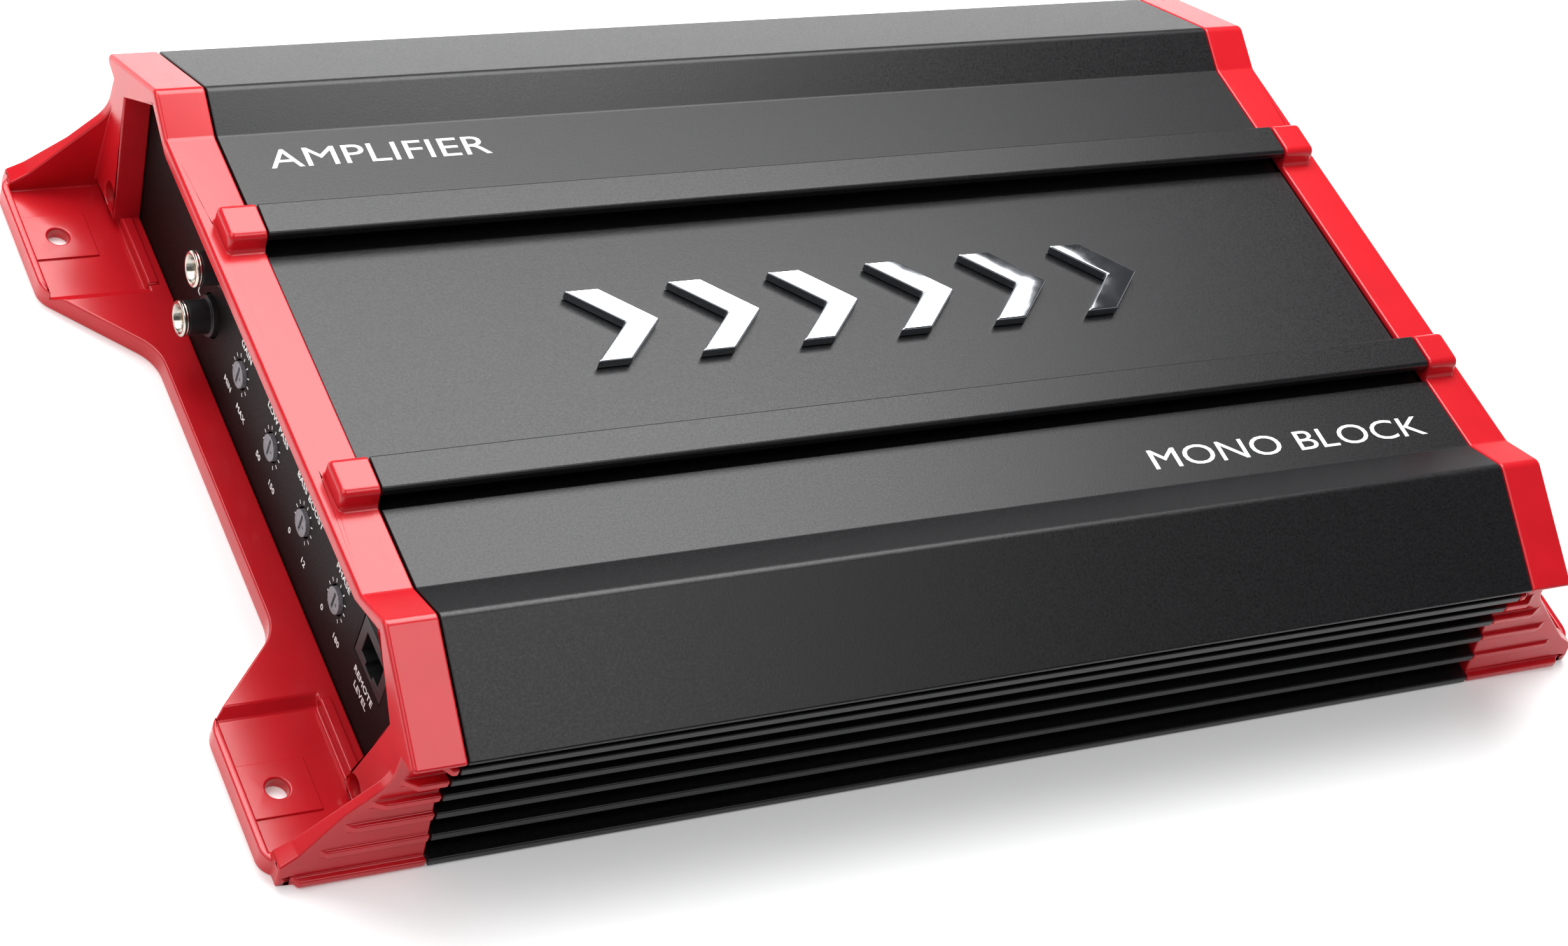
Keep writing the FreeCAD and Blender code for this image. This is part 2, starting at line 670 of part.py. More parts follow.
def on_nub_end(edge):
    """Edges of the nubs' end faces that stand above the deck."""
    box_of = edge.BoundBox
    at_end = abs(box_of.XMin - number(nub_end)) < 0.01 and box_of.XLength < 0.01
    return at_end and box_of.ZMax > number("deck_z") + 0.3


round_edges(cap, "nub_round", "1.3", on_nub_end)

# panel opening at the outer side, wider pocket for the panel behind it
pocket(cap, "opening", "YZ_Plane", "-frame_x - 1", "-panel_x",
       [opening_outline("0", "floor_height")])
pocket(cap, "panel_seat", "YZ_Plane", "-panel_x", "-cap_x + 1",
       [opening_outline("panel_rebate", "floor_height - panel_rebate")])

# sunk foot pads with a ramp, a raised pad round the hole, a low ridge by the panel
ramp = 2.4
for s in SIDES:
    sunk = [("foot_start - 4", "floor_height + 0.01"), ("foot_start - %s" % (4 - ramp), "foot_floor"),
            ("wing_y", "foot_floor"), ("wing_y", "floor_height + 0.01")]
    pocket(cap, "foot_pad_%d" % (s + 1), "YZ_Plane", "-foot_x + foot_rim", "-frame_x + 2.2",
           [[(times(s, y), z) for y, z in sunk]])
    pad(cap, "hole_pad_%d" % (s + 1), "XY_Plane", "foot_floor - 0.5", "foot_floor + 0.5",
        [rectangle("-foot_x + foot_rim - 0.2", "-hole_x + 8", times(s, "foot_hole_y - 7"),
                   times(s, "foot_hole_y + 7"))])
    pad(cap, "ridge_%d" % (s + 1), "XY_Plane", "floor_height - 1", "floor_height + 0.8",
        [rectangle("-frame_x + 2.0", "-frame_x + 4.6", times(s, "foot_start - 2"),
                   times(s, "opening_bottom_half"))])
foot_holes = [("-hole_x", times(s, "foot_hole_y"), "foot_hole_bore / 2") for s in SIDES]
pocket(cap, "foot_holes", "XY_Plane", "-1", "floor_height + 2", [], foot_holes)

# cap screws: counterbore in the frame face, clearance hole behind it
screw_spots = [(times(s, "port_y"), "port_height") for s in SIDES]
pocket(cap, "counterbores", "YZ_Plane", "-frame_x - 1", "-frame_x + 3.5", [],
       [(y, z, "screw_head / 2 + 0.5") for y, z in screw_spots])
pocket(cap, "screw_holes", "YZ_Plane", "-frame_x - 1", "-cap_x + 1", [],
       [(y, z, "screw_shank / 2 + 0.3") for y, z in screw_spots])


def top_height(y):
    """Height of the frame's top at a distance from the centre line, None on the step up."""
    if y > number("shoulder_y"):
        fall = number("edge_drop / shoulder_inset")
        return number("shoulder_height") - (y - number("shoulder_y")) * fall
    return number("deck_z") if y < number("deck_y") else None


def on_frame_rim(edge):
    """Edges of the frame's end face that run along its top."""
    box_of = edge.BoundBox
    at_face = abs(box_of.XMin + number("frame_x")) < 0.01 and box_of.XLength < 0.01
    centre = edge.valueAt((edge.FirstParameter + edge.LastParameter) / 2)
    top = top_height(abs(centre.y))
    along_top = top is None or abs(centre.z - top) < 0.6
    inside = abs(centre.y) < number("edge_y - 1") and centre.z > number("deck_z - 12")
    return at_face and along_top and inside


round_edges(cap, "frame_round", "1.0", on_frame_rim)
node(cap, "left_end_cap")
right_cap = doc.addObject("Part::Mirroring", "RightEndCap")
right_cap.Source = cap
right_cap.Normal = Vector(1, 0, 0)
node(right_cap, "right_end_cap")

cap_screws = []
for s in SIDES:
    for i, (y, z) in enumerate(screw_spots):
        cap_screws.append(screw("cap_screw_%d_%d" % (s + 1, i), "x",
                                times(-s, "frame_x - 3.5"), y, z, "frame_width + 8", s))
node(group("CapScrews", cap_screws), "cap_screws")


# ---- end panels ----

def panel_outline():
    return opening_outline("panel_rebate - panel_gap", "floor_height - panel_rebate + panel_gap")


KNOBS = ("gain_knob", "low_pass_knob", "bass_boost_knob", "phase_knob")
knob_y = [plus("knob_y", times(-i, "knob_pitch")) for i in range(len(KNOBS))]
JACKS = [("jack_y", "jack_low"), ("jack_y", "jack_low + jack_pitch")]
socket_low = "socket_height - socket_tall / 2"


def window(middle, half, low, high):
    """A panel window with clearance round a connector."""
    return rectangle("%s - (%s) - window_gap" % (middle, half),
                     "%s + (%s) + window_gap" % (middle, half),
                     low + " - window_gap", high + " + window_gap")


socket_window = window("socket_y", "socket_width / 2", socket_low, socket_low + " + socket_tall")
left_panel = new_body("LeftEndPanel")
left_holes = [(y, z, "jack_radius + 1.0") for y, z in JACKS]
left_holes += [(y, "knob_height", "knob_radius + hole_gap") for y in knob_y]
pad(left_panel, "left_plate", "YZ_Plane", "-panel_x", "-panel_back_x",
    [panel_outline(), socket_window], left_holes)
node(left_panel, "left_end_panel")

POWER_WAYS = ("ground", "remote", "battery")
SPEAKER_WAYS = ("minus", "plus")
power_ways = [plus("power_y", times(i - 1, "power_pitch")) for i in range(3)]
speaker_ways = [plus("speaker_y", times(i - 0.5, "speaker_pitch")) for i in range(2)]
fuse_places = [plus("fuse_y", times(i - 1, "fuse_pitch")) for i in range(FUSE_COUNT)]
power_half = "power_pitch * 1.5 + 1"
speaker_half = "speaker_pitch + 1"
fuse_half = "fuse_pitch * 1.5 + seat_gap"

right_panel = new_body("RightEndPanel")
right_windows = [
    panel_outline(),
    window("power_y", power_half, "terminal_bottom", "terminal_top"),
    window("speaker_y", speaker_half, "terminal_bottom", "terminal_top"),
    window("fuse_y", fuse_half, "fuse_height - fuse_tall / 2 - 2", "fuse_height + fuse_tall / 2 + 2"),
]
LIGHTS = [("light_y", plus("fuse_height", times(s, "light_pitch / 2"))) for s in SIDES]
pad(right_panel, "right_plate", "YZ_Plane", "panel_back_x", "panel_x", right_windows,
    [(y, z, "light_radius + 0.1") for y, z in LIGHTS])
node(right_panel, "right_end_panel")

# ---- signal jacks ----

jack_bodies = [box("jack_block", "-panel_back_x + 0.1", "-control_x", "jack_y - jack_block",
                   "jack_y + jack_block", "jack_low - jack_block",
                   "jack_low + jack_pitch + jack_block")]
jack_bores = []
jack_shells = []
jack_cores = []
jack_pins = []
jack_tip = "-panel_x - jack_reach"
jack_outside = "jack_radius - 0.2"
jack_inside = "jack_radius - 0.2 - jack_wall"
for i, (y, z) in enumerate(JACKS):
    jack_bodies.append(rod("jack_collar_%d" % i, "x", "jack_radius + 0.7",
                           "-panel_x - jack_collar", y, z, "jack_collar + panel_thickness + 0.8"))
    jack_bodies.append(rod("jack_barrel_%d" % i, "x", jack_outside, jack_tip + " + jack_ring",
                           y, z, "jack_reach - jack_ring"))
    jack_bores.append(rod("jack_bore_%d" % i, "x", jack_inside, jack_tip, y, z,
                          "jack_reach + 1"))
    sleeve = rod("jack_sleeve_%d" % i, "x", jack_inside, jack_tip, y, z, "jack_reach + 1")
    ring = rod("jack_ring_%d" % i, "x", "jack_radius", jack_tip, y, z, "jack_ring")
    hollow = rod("jack_hollow_%d" % i, "x", jack_inside + " - jack_metal", jack_tip + " - 1",
                 y, z, "jack_reach + 3")
    jack_shells.append(cut("jack_shell_%d" % i, fuse("jack_metal_%d" % i, sleeve, ring), hollow))
    jack_cores.append(tube("jack_core_%d" % i, "x", jack_inside + " - jack_metal", "jack_pin",
                           jack_tip + " + 2.2", y, z, "jack_reach - 1.2"))
    jack_pins.append(tube("jack_pin_%d" % i, "x", "jack_pin", "jack_pin_bore",
                          jack_tip + " + 1.6", y, z, "jack_reach - 0.6"))
node(cut("JackHousing", fuse("jack_plastic", *jack_bodies), *jack_bores), "jack_housing")
node(group("JackShells", jack_shells), "jack_shells")
node(group("JackInsulators", jack_cores), "jack_insulators")
node(group("JackContacts", jack_pins), "jack_contacts")

# ---- trimmers: turning faces on shafts that run in the pot bodies ----

pots = []
for name, y in zip(KNOBS, knob_y):
    face = rod(name + "_face", "x", "knob_radius", "-panel_x - knob_proud", y, "knob_height",
               "knob_proud + panel_thickness + 0.6")
    shaft = rod(name + "_shaft", "x", "shaft_radius", "-panel_back_x + 0.6", y, "knob_height",
                "shaft_length")
    slot = box(name + "_slot", "-panel_x - knob_proud - 1", "-panel_x - knob_proud + slot_width",
               plus(y, "-slot_width / 2"), plus(y, "slot_width / 2"),
               "knob_height - knob_radius * 0.75", "knob_height + knob_radius * 0.75")
    dot = rod(name + "_dot", "x", "0.35", "-panel_x - knob_proud - 1",
              plus(y, "-knob_radius * 0.48"), "knob_height", "1.3")
    node(cut(name + "_part", fuse(name + "_solid", face, shaft), slot, dot), name)
    shell = box(name + "_pot", "-panel_back_x + 1.2", "-control_x", plus(y, "-pot_width / 2"),
                plus(y, "pot_width / 2"), "knob_height - pot_tall / 2",
                "knob_height + pot_tall / 2")
    bore = rod(name + "_bearing", "x", "shaft_radius + turning_gap", "-panel_back_x", y,
               "knob_height", "shaft_length + 1")
    pots.append(cut(name + "_body", shell, bore))
node(group("Trimmers", pots), "trimmer_bodies")

# ---- remote level socket ----

mouth = box("socket_mouth_hollow", "-panel_x - 1", "-panel_back_x + 5",
            "socket_y - socket_mouth / 2", "socket_y + socket_mouth / 2",
            socket_low + " + 2.6", socket_low + " + 8.6")
latch = box("socket_latch", "-panel_x - 1", "-panel_back_x + 4", "socket_y - 2", "socket_y + 2",
            socket_low + " + 1.2", socket_low + " + 2.8")
socket_block = box("socket_block", "-panel_x", "-control_x", "socket_y - socket_width / 2",
                   "socket_y + socket_width / 2", socket_low, socket_low + " + socket_tall")
wires = []
grooves = []
for i in range(6):
    wire_y = plus("socket_y", times(i - 2.5, "socket_pitch"))
    grooves.append(box("socket_groove_%d" % i, "-panel_x + 1.5", "-panel_back_x + 5",
                       wire_y + " - socket_wire / 2", wire_y + " + socket_wire / 2", socket_low + " + 8.0",
                       socket_low + " + 9.2"))
    wires.append(box("socket_wire_%d" % i, "-panel_x + 1.6", "-panel_back_x + 5",
                     wire_y + " - socket_wire / 2", wire_y + " + socket_wire / 2", socket_low + " + 8.2",
                     socket_low + " + 9.2"))
node(cut("RemoteSocket", socket_block, mouth, latch, *grooves), "remote_socket")
node(group("SocketContacts", wires), "socket_contacts")

# ---- circuit boards ----

control_board = new_body("ControlBoard")
pad(control_board, "control_sheet", "YZ_Plane", "-control_x", "-control_x + board_thickness",
    [rectangle("socket_y - socket_width / 2 - 3", "jack_y + 9", "board_z + 0.4", "ceiling_z - 1")])
node(control_board, "control_board")
main_board = new_body("MainBoard")
main_clear = [(x, y, "screw_shank / 2 + 0.3") for x in BOARD_SCREW_X for y in ledge_screw_y]
board_edge = "inner_y - board_gap"
pad(main_board, "main_sheet", "XY_Plane", "ledge_height", "board_z",
    [rectangle("-board_left_x", "board_right_x", times(-1, board_edge), board_edge)], main_clear)
node(main_board, "main_board")
board_screws = []
for i, x in enumerate(BOARD_SCREW_X):
    for j, y in enumerate(ledge_screw_y):
        board_screws.append(screw("board_screw_%d_%d" % (i, j), "z", x, y, "board_z",
                                  "board_thickness + 2.8", -1))
node(group("BoardScrews", board_screws), "board_screws")
node(box("BoardConnector", "-control_x + board_thickness", "-board_left_x + 4", "-24", "16",
         "board_z", "board_z + 5"), "board_connector")

# ---- terminals ----

def terminal_row(name, middle, half, ways, bore, labels):
    """A plastic block with one clamp, one cable entry and one clamp screw a way."""
    z_mid = "terminal_bottom + 8.5"
    block = box(name + "_shell", "panel_back_x - 6", "terminal_x", "%s - (%s)" % (middle, half),
                "%s + (%s)" % (middle, half), "terminal_bottom", "terminal_top")
    tools = []
    clamps = []
    for label, y in zip(labels, ways):
        tag = name + "_" + label
        side = "(%s) / 2 + clamp_wall" % bore
        clamp_box = (plus("terminal_x", "-15"), plus("terminal_x", "-1.6"),
                     plus(y, times(-1, side)), plus(y, side), "terminal_bottom + 2.6",
                     "terminal_bottom + 2.6 + clamp_tall")
        tools.append(box(tag + "_cell", *clamp_box))
        tools.append(rod(tag + "_mouth", "x", "(%s) / 2" % bore, "terminal_x - 2", y, z_mid, "3"))
        tools.append(rod(tag + "_well", "z", "clamp_screw_radius + 0.6", "terminal_x - clamp_inset", y,
                         "terminal_bottom + 17", "terminal_tall"))
        entry = rod(tag + "_entry", "x", "(%s) / 2" % bore, "terminal_x - 13.4", y, z_mid, "13")
        thread = rod(tag + "_thread", "z", "clamp_screw_radius + turning_gap", "terminal_x - clamp_inset",
                     y, z_mid, "10")
        clamps.append(cut(tag + "_clamp", box(tag + "_metal", *clamp_box), entry, thread))
        stud = rod(tag + "_stud", "z", "clamp_screw_radius", "terminal_x - clamp_inset", y,
                   "terminal_bottom + 12.2", "6.6")
        socket_hole = rod(tag + "_drive", "z", "clamp_screw_radius * 0.5", "terminal_x - clamp_inset", y,
                          "terminal_bottom + 16", "4")
        hex_cut = doc.addObject("Part::Prism", tag + "_hex")
        bind(hex_cut, Circumradius="clamp_screw_radius * 0.62", Height="4",
             Placement__Base__x="terminal_x - clamp_inset", Placement__Base__y=y,
             Placement__Base__z="terminal_bottom + 16")
        node(cut(tag + "_screw_part", stud, socket_hole, hex_cut), tag + "_screw")
    node(cut(name + "_part", block, *tools), name + "_block")
    node(group(name + "_metals", clamps), name + "_clamps")


terminal_row("power_terminal", "power_y", power_half, power_ways, "power_bore", POWER_WAYS)
terminal_row("speaker_terminal", "speaker_y", speaker_half, speaker_ways, "speaker_bore",
             SPEAKER_WAYS)

# ---- blade fuses in their holder ----

holder_face = "panel_x + 1.4"
holder_shell = box("holder_shell", "panel_back_x - 9", holder_face, "fuse_y - (%s)" % fuse_half,
                   "fuse_y + (%s)" % fuse_half, "fuse_height - fuse_tall / 2 - 2",
                   "fuse_height + fuse_tall / 2 + 2")
holder_tools = []
fuse_springs = []
BLADE_Z = [times(s, "(fuse_tall - blade_width) / 2 - 0.8") for s in SIDES]
seat_x = "panel_x - 2.4"
for i, y in enumerate(fuse_places):
    holder_tools.append(box("fuse_seat_%d" % i, seat_x, holder_face + " + 1",
                            plus(y, "-fuse_thick / 2 - seat_gap"),
                            plus(y, "fuse_thick / 2 + seat_gap"),
                            "fuse_height - fuse_tall / 2 - seat_gap",
                            "fuse_height + fuse_tall / 2 + seat_gap"))
    blades = []
    for j, z in enumerate(BLADE_Z):
        z_low = plus("fuse_height", z, "-blade_width / 2")
        z_high = plus(z_low, "blade_width")
        blades.append(box("fuse_blade_%d_%d" % (i, j), plus(seat_x, "0.3 - blade_length"),
                          plus(seat_x, "2.3"), plus(y, "-blade_thickness / 2"),
                          plus(y, "blade_thickness / 2"), z_low, z_high))
        cell = (plus(seat_x, "-blade_length - 0.6"), seat_x, plus(y, "-contact_reach"),
                plus(y, "contact_reach"), plus(z_low, "-0.6"), plus(z_high, "0.6"))
        holder_tools.append(box("fuse_cell_%d_%d" % (i, j), *cell))
        for s in SIDES:
            inner = plus(y, times(s, "blade_thickness / 2 + blade_gap"))
            outer = plus(y, times(s, "contact_reach"))
            low, high = (inner, outer) if s > 0 else (outer, inner)
            fuse_springs.append(box("fuse_spring_%d_%d_%d" % (i, j, s + 1),
                                    plus(seat_x, "-blade_length - 0.6"), plus(seat_x, "-0.6"),
                                    low, high, z_low, z_high))
    body_low = plus(seat_x, "0.3")
    shell = box("fuse_shell_%d" % i, body_low, plus(body_low, "fuse_deep"),
                plus(y, "-fuse_thick / 2"), plus(y, "fuse_thick / 2"),
                "fuse_height - fuse_tall / 2", "fuse_height + fuse_tall / 2")
    sockets = [box("fuse_slot_%d_%d" % (i, j), plus(seat_x, "0"), plus(seat_x, "2.3"),
                   plus(y, "-blade_thickness / 2"), plus(y, "blade_thickness / 2"),
                   plus("fuse_height", z, "-blade_width / 2"),
                   plus("fuse_height", z, "blade_width / 2")) for j, z in enumerate(BLADE_Z)]
    waists = []
    for s in SIDES:
        near = plus(y, times(s, "fuse_thick / 2 - 0.8"))
        far = plus(y, times(s, "fuse_thick"))
        low, high = (near, far) if s > 0 else (far, near)
        waists.append(box("fuse_waist_%d_%d" % (i, s + 1), plus(body_low, "3.2"),
                          plus(body_low, "8.0"), low, high, "fuse_height - fuse_tall / 2 + 3",
                          "fuse_height + fuse_tall / 2 - 3"))
    node(cut("Fuse%d" % (i + 1), shell, *(sockets + waists)), "fuse_%d_body" % (i + 1))
    node(group("FuseBlades%d" % (i + 1), blades), "fuse_%d_blades" % (i + 1))
node(cut("FuseHolder", holder_shell, *holder_tools), "fuse_holder")
node(group("FuseContacts", fuse_springs), "fuse_contacts")

# ---- status lights ----

lights = []
for i, (y, z) in enumerate(LIGHTS):
    lens = rod("light_lens_%d" % i, "x", "light_radius", "panel_back_x - 3", y, z,
               "panel_thickness + 3")
    dome = doc.addObject("Part::Sphere", "light_dome_%d" % i)
    bind(dome, Radius="light_radius", Placement__Base__x="panel_x", Placement__Base__y=y,
         Placement__Base__z=z)
    collar = rod("light_collar_%d" % i, "x", "light_radius + 0.5", "panel_back_x - 3", y, z,
                 "1.4")
    lights.append(fuse("light_%d" % i, lens, dome, collar))
node(group("StatusLights", lights), "status_lights")

# ---- transistors clamped to the side walls ----

transistors = []
leads = []
pads = []
bars = []
bar_screws = []
transistor_x = [times(i - 2.5, "transistor_pitch") for i in range(TRANSISTORS_PER_SIDE)]
for s in SIDES:
    wall = times(s, "inner_y")
    face = plus(wall, times(-s, "pad_thickness"))
    front = plus(face, times(-s, "transistor_deep"))
    bar_front = plus(front, times(-s, "bar_thickness"))

    def slab(name, x_low, x_high, near, far, z_low, z_high):
        low, high = (near, far) if s > 0 else (far, near)
        return box(name, x_low, x_high, low, high, z_low, z_high)

    for i, x in enumerate(transistor_x):
        tag = "%d_%d" % (s + 1, i)
        left = plus(x, "-transistor_width / 2")
        right = plus(x, "transistor_width / 2")
        transistors.append(slab("transistor_" + tag, left, right, front, face,
                                "transistor_bottom",
                                "transistor_bottom + transistor_tall"))
        pads.append(slab("pad_" + tag, left + " - 1", right + " + 1", face, wall,
                         "transistor_bottom - 1", "transistor_bottom + transistor_tall + 1"))
        for k in (-1, 0, 1):
            lead_x = plus(x, times(k, "lead_pitch"))
            middle = plus(face, times(-s, "transistor_deep / 2"))
            leads.append(box("lead_%s_%d" % (tag, k + 1), lead_x + " - lead_width / 2",
                             lead_x + " + lead_width / 2", middle + " - lead_thickness / 2",
                             middle + " + lead_thickness / 2", "board_z", "transistor_bottom"))
    bar = slab("bar_solid_%d" % (s + 1), "-transistor_pitch * 3", "transistor_pitch * 3",
               bar_front, front, "bar_height - bar_width / 2", "bar_height + bar_width / 2")
    bar_bores = [rod("bar_bore_%d_%d" % (s + 1, i), "y", "screw_shank / 2 + 0.3", x,
                     plus(bar_front, "-6"), "bar_height", "12")
                 for i, x in enumerate(clamp_screw_places)]
    bars.append(cut("bar_%d" % (s + 1), bar, *bar_bores))
    for i, x in enumerate(clamp_screw_places):
        bar_screws.append(screw("bar_screw_%d_%d" % (s + 1, i), "y", x, bar_front, "bar_height",
                                "inner_y - ledge_y", s))
node(group("Transistors", transistors), "transistors")
node(group("TransistorLeads", leads), "transistor_leads")
node(group("InsulatingPads", pads), "insulating_pads")
node(group("ClampBars", bars), "clamp_bars")
node(group("ClampScrews", bar_screws), "clamp_screws")

# ---- wound parts and capacitors on the main board ----

TOROIDS = (
    ("power_transformer_1", "-toroid_radius * 2.4", "toroid_y"),
    ("power_transformer_2", "-toroid_radius * 2.4", "-toroid_y"),
    ("output_choke", "toroid_radius * 0.1", "-toroid_y"),
)
TURNS_COUNT = 30
WIRE_LAYER = 1.85
TURN_WIDTH = 1.5
for name, x, y in TOROIDS:
    z_low = "board_z"
    core = tube(name + "_core_part", "z", "toroid_radius - 2", "toroid_bore + 2", x, y,
                z_low + " + 2", "toroid_tall - 4")
    node(core, name + "_core")
    loops = []
    for turn in range(TURNS_COUNT):
        outer = doc.addObject("Part::Box", "%s_turn_%d" % (name, turn))
        inner = doc.addObject("Part::Box", "%s_window_%d" % (name, turn))
        angle = Rotation(Vector(0, 0, 1), 360.0 * turn / TURNS_COUNT)
        for thing, margin in ((outer, 0), (inner, WIRE_LAYER)):
            thing.Length = number("toroid_radius - toroid_bore") - 2 * margin
            thing.Width = TURN_WIDTH + margin
            thing.Height = number("toroid_tall") - 2 * margin
            base = Vector(number("toroid_bore") + margin, -(TURN_WIDTH + margin) / 2, margin)
            middle = Vector(number(x), number(y), number(z_low))
            thing.Placement = Placement(middle + angle.multVec(base), angle)
        loops.append(cut("%s_loop_%d" % (name, turn), outer, inner))
    node(group(name + "_coil", loops), name + "_winding")

cans = []
for i in range(4):
    for j, row_y in enumerate(("toroid_y - 8", "toroid_y + 11")):
        x = plus("toroid_radius * 0.1", times(i - 0.4, "can_pitch"))
        can = rod("can_%d_%d" % (i, j), "z", "can_radius", x, row_y, "board_z", "can_tall")
        cans.append(can)
node(group("FilterCapacitors", cans), "filter_capacitors")

# ---- emblem: six raised chevrons on the middle deck ----

chevrons = []
for i in range(6):
    centre = times(i - 2.5, "emblem_pitch")
    left = plus(centre, "-emblem_width / 2")
    right = plus(centre, "emblem_width / 2")
    half = "emblem_depth / 2"
    chevrons.append([
        (left, times(-1, half)), (plus(left, "emblem_arm"), times(-1, half)),
        (right, "0"), (plus(left, "emblem_arm"), half), (left, half),
        (plus(right, "-emblem_arm"), "0"),
    ])
chevron_parts = []
for i, outline in enumerate(chevrons):
    sketch = doc.addObject("Sketcher::SketchObject", "chevron_sketch_%d" % i)
    bind(sketch, Placement__Base__z="middle_z")
    shift = "(rear_lip_y - lip_width + front_lip_y) / 2"
    draw(sketch, [[(u, plus(v, shift)) for u, v in outline]], [])
    plate = doc.addObject("Part::Extrusion", "chevron_%d" % i)
    plate.Base = sketch
    plate.DirMode = "Normal"
    plate.Solid = True
    chevron_parts.append(bind(plate, LengthFwd="emblem_height"))
node(group("Emblem", chevron_parts), "emblem")


# ---- checks and files ----

doc.recompute()
for thing in doc.Objects:
    if "Invalid" in thing.State or "Error" in thing.State:
        raise RuntimeError("failed: %s %s" % (thing.Name, thing.State))
for thing in doc.Objects:
    if thing.TypeId == "PartDesign::Pocket":
        if thing.Shape.Volume >= thing.BaseFeature.Shape.Volume - 0.01:
            raise RuntimeError(thing.Name + " cuts nothing")
for thing in NODES:
    if thing.Shape.isNull() or not thing.Shape.isValid():
        raise RuntimeError(thing.Label + " has no valid shape")
os.makedirs("parts", exist_ok=True)
for thing in NODES:
    thing.Shape.exportStep(os.path.join("parts", thing.Label + ".step"))
    print(thing.Label, len(thing.Shape.Solids), round(thing.Shape.Volume, 1))
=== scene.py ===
"""Looks of a single-channel car amplifier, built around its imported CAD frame."""

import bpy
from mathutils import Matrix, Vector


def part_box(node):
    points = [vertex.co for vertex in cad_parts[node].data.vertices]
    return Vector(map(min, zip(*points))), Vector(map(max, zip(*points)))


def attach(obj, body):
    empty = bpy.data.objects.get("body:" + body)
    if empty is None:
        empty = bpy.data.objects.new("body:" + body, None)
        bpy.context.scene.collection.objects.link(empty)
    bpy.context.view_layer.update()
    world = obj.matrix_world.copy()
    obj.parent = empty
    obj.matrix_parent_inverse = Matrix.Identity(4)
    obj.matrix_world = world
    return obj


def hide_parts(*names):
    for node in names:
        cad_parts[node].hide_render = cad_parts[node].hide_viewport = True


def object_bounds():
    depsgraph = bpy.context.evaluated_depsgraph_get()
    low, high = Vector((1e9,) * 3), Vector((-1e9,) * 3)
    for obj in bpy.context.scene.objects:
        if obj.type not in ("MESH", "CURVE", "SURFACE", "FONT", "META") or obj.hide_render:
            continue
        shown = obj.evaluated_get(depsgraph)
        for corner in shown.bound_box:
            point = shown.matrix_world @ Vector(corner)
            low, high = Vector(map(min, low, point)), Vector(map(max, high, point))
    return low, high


bl_info = {
    "name": "Car Amplifier Looks",
    "version": (1, 0, 0),
    "blender": (4, 5, 0),
    "location": "3D View > Sidebar > Amplifier",
    "description": "Finishes, fasteners, windings, prints and the studio of a car amplifier",
    "category": "Object",
}

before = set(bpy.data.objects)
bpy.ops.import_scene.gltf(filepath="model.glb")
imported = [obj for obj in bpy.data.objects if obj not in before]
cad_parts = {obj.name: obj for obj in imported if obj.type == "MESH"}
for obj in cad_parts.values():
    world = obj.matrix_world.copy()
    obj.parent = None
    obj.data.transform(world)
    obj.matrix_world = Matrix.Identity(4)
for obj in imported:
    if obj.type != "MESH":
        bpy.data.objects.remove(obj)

import math

import bmesh
import bpy
from bpy.props import (FloatProperty, FloatVectorProperty, IntProperty, PointerProperty,
                       StringProperty)
from mathutils import Matrix, Vector
from mathutils.bvhtree import BVHTree

CAD_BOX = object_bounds()
MM = 0.001
CHASSIS = "chassis"
KNOBS = ("gain_knob", "low_pass_knob", "bass_boost_knob", "phase_knob")
POWER_WAYS = ("ground", "remote", "battery")
SPEAKER_WAYS = ("minus", "plus")
FUSES = ("fuse_1", "fuse_2", "fuse_3")
# points closer than this are one point, and anything thinner than a sliver is no face
WELD = 0.002 * MM
SLIVER = 0.001 * MM
# an edge that turns by more than this many degrees is rounded
SHARP = 18.0
# an edge that turns by less than this many degrees lies inside a flat face
FLAT = 0.5
# a round takes at most this share of the narrower face beside it
ROOM_SHARE = 0.4
# a corner further than this share of the radius from the surface has strayed
STRAY_SHARE = 0.5
# height of a capital as a share of the built-in font's size
CAPITAL_SHARE = 0.7
QUARTER_TURN = math.pi / 2
# every finish by its own name, filled in by main()
FINISHES = {}


def linear(hex_text):
    """An sRGB hex colour as linear RGBA."""
    channels = [int(hex_text[i:i + 2], 16) / 255 for i in (1, 3, 5)]
    curved = [c / 12.92 if c <= 0.04045 else ((c + 0.055) / 1.055) ** 2.4 for c in channels]
    return (*curved, 1.0)


def length(label, what, millimetres):
    """A length property, given in millimetres and held in metres."""
    return FloatProperty(name=label, description=what, default=millimetres * MM, min=0.0,
                         unit="LENGTH")


def angle(label, what, degrees):
    """An angle property, given in degrees and held in radians."""
    return FloatProperty(name=label, description=what, default=math.radians(degrees),
                         subtype="ANGLE")


def number(label, what, value, least=0.0):
    """A plain number property."""
    return FloatProperty(name=label, description=what, default=value, min=least)


def colour(label, what, hex_text):
    """A colour property, given as sRGB hex."""
    return FloatVectorProperty(name=label, description=what, default=linear(hex_text), size=4,
                               min=0.0, max=1.0, subtype="COLOR")


# ---- settings ----

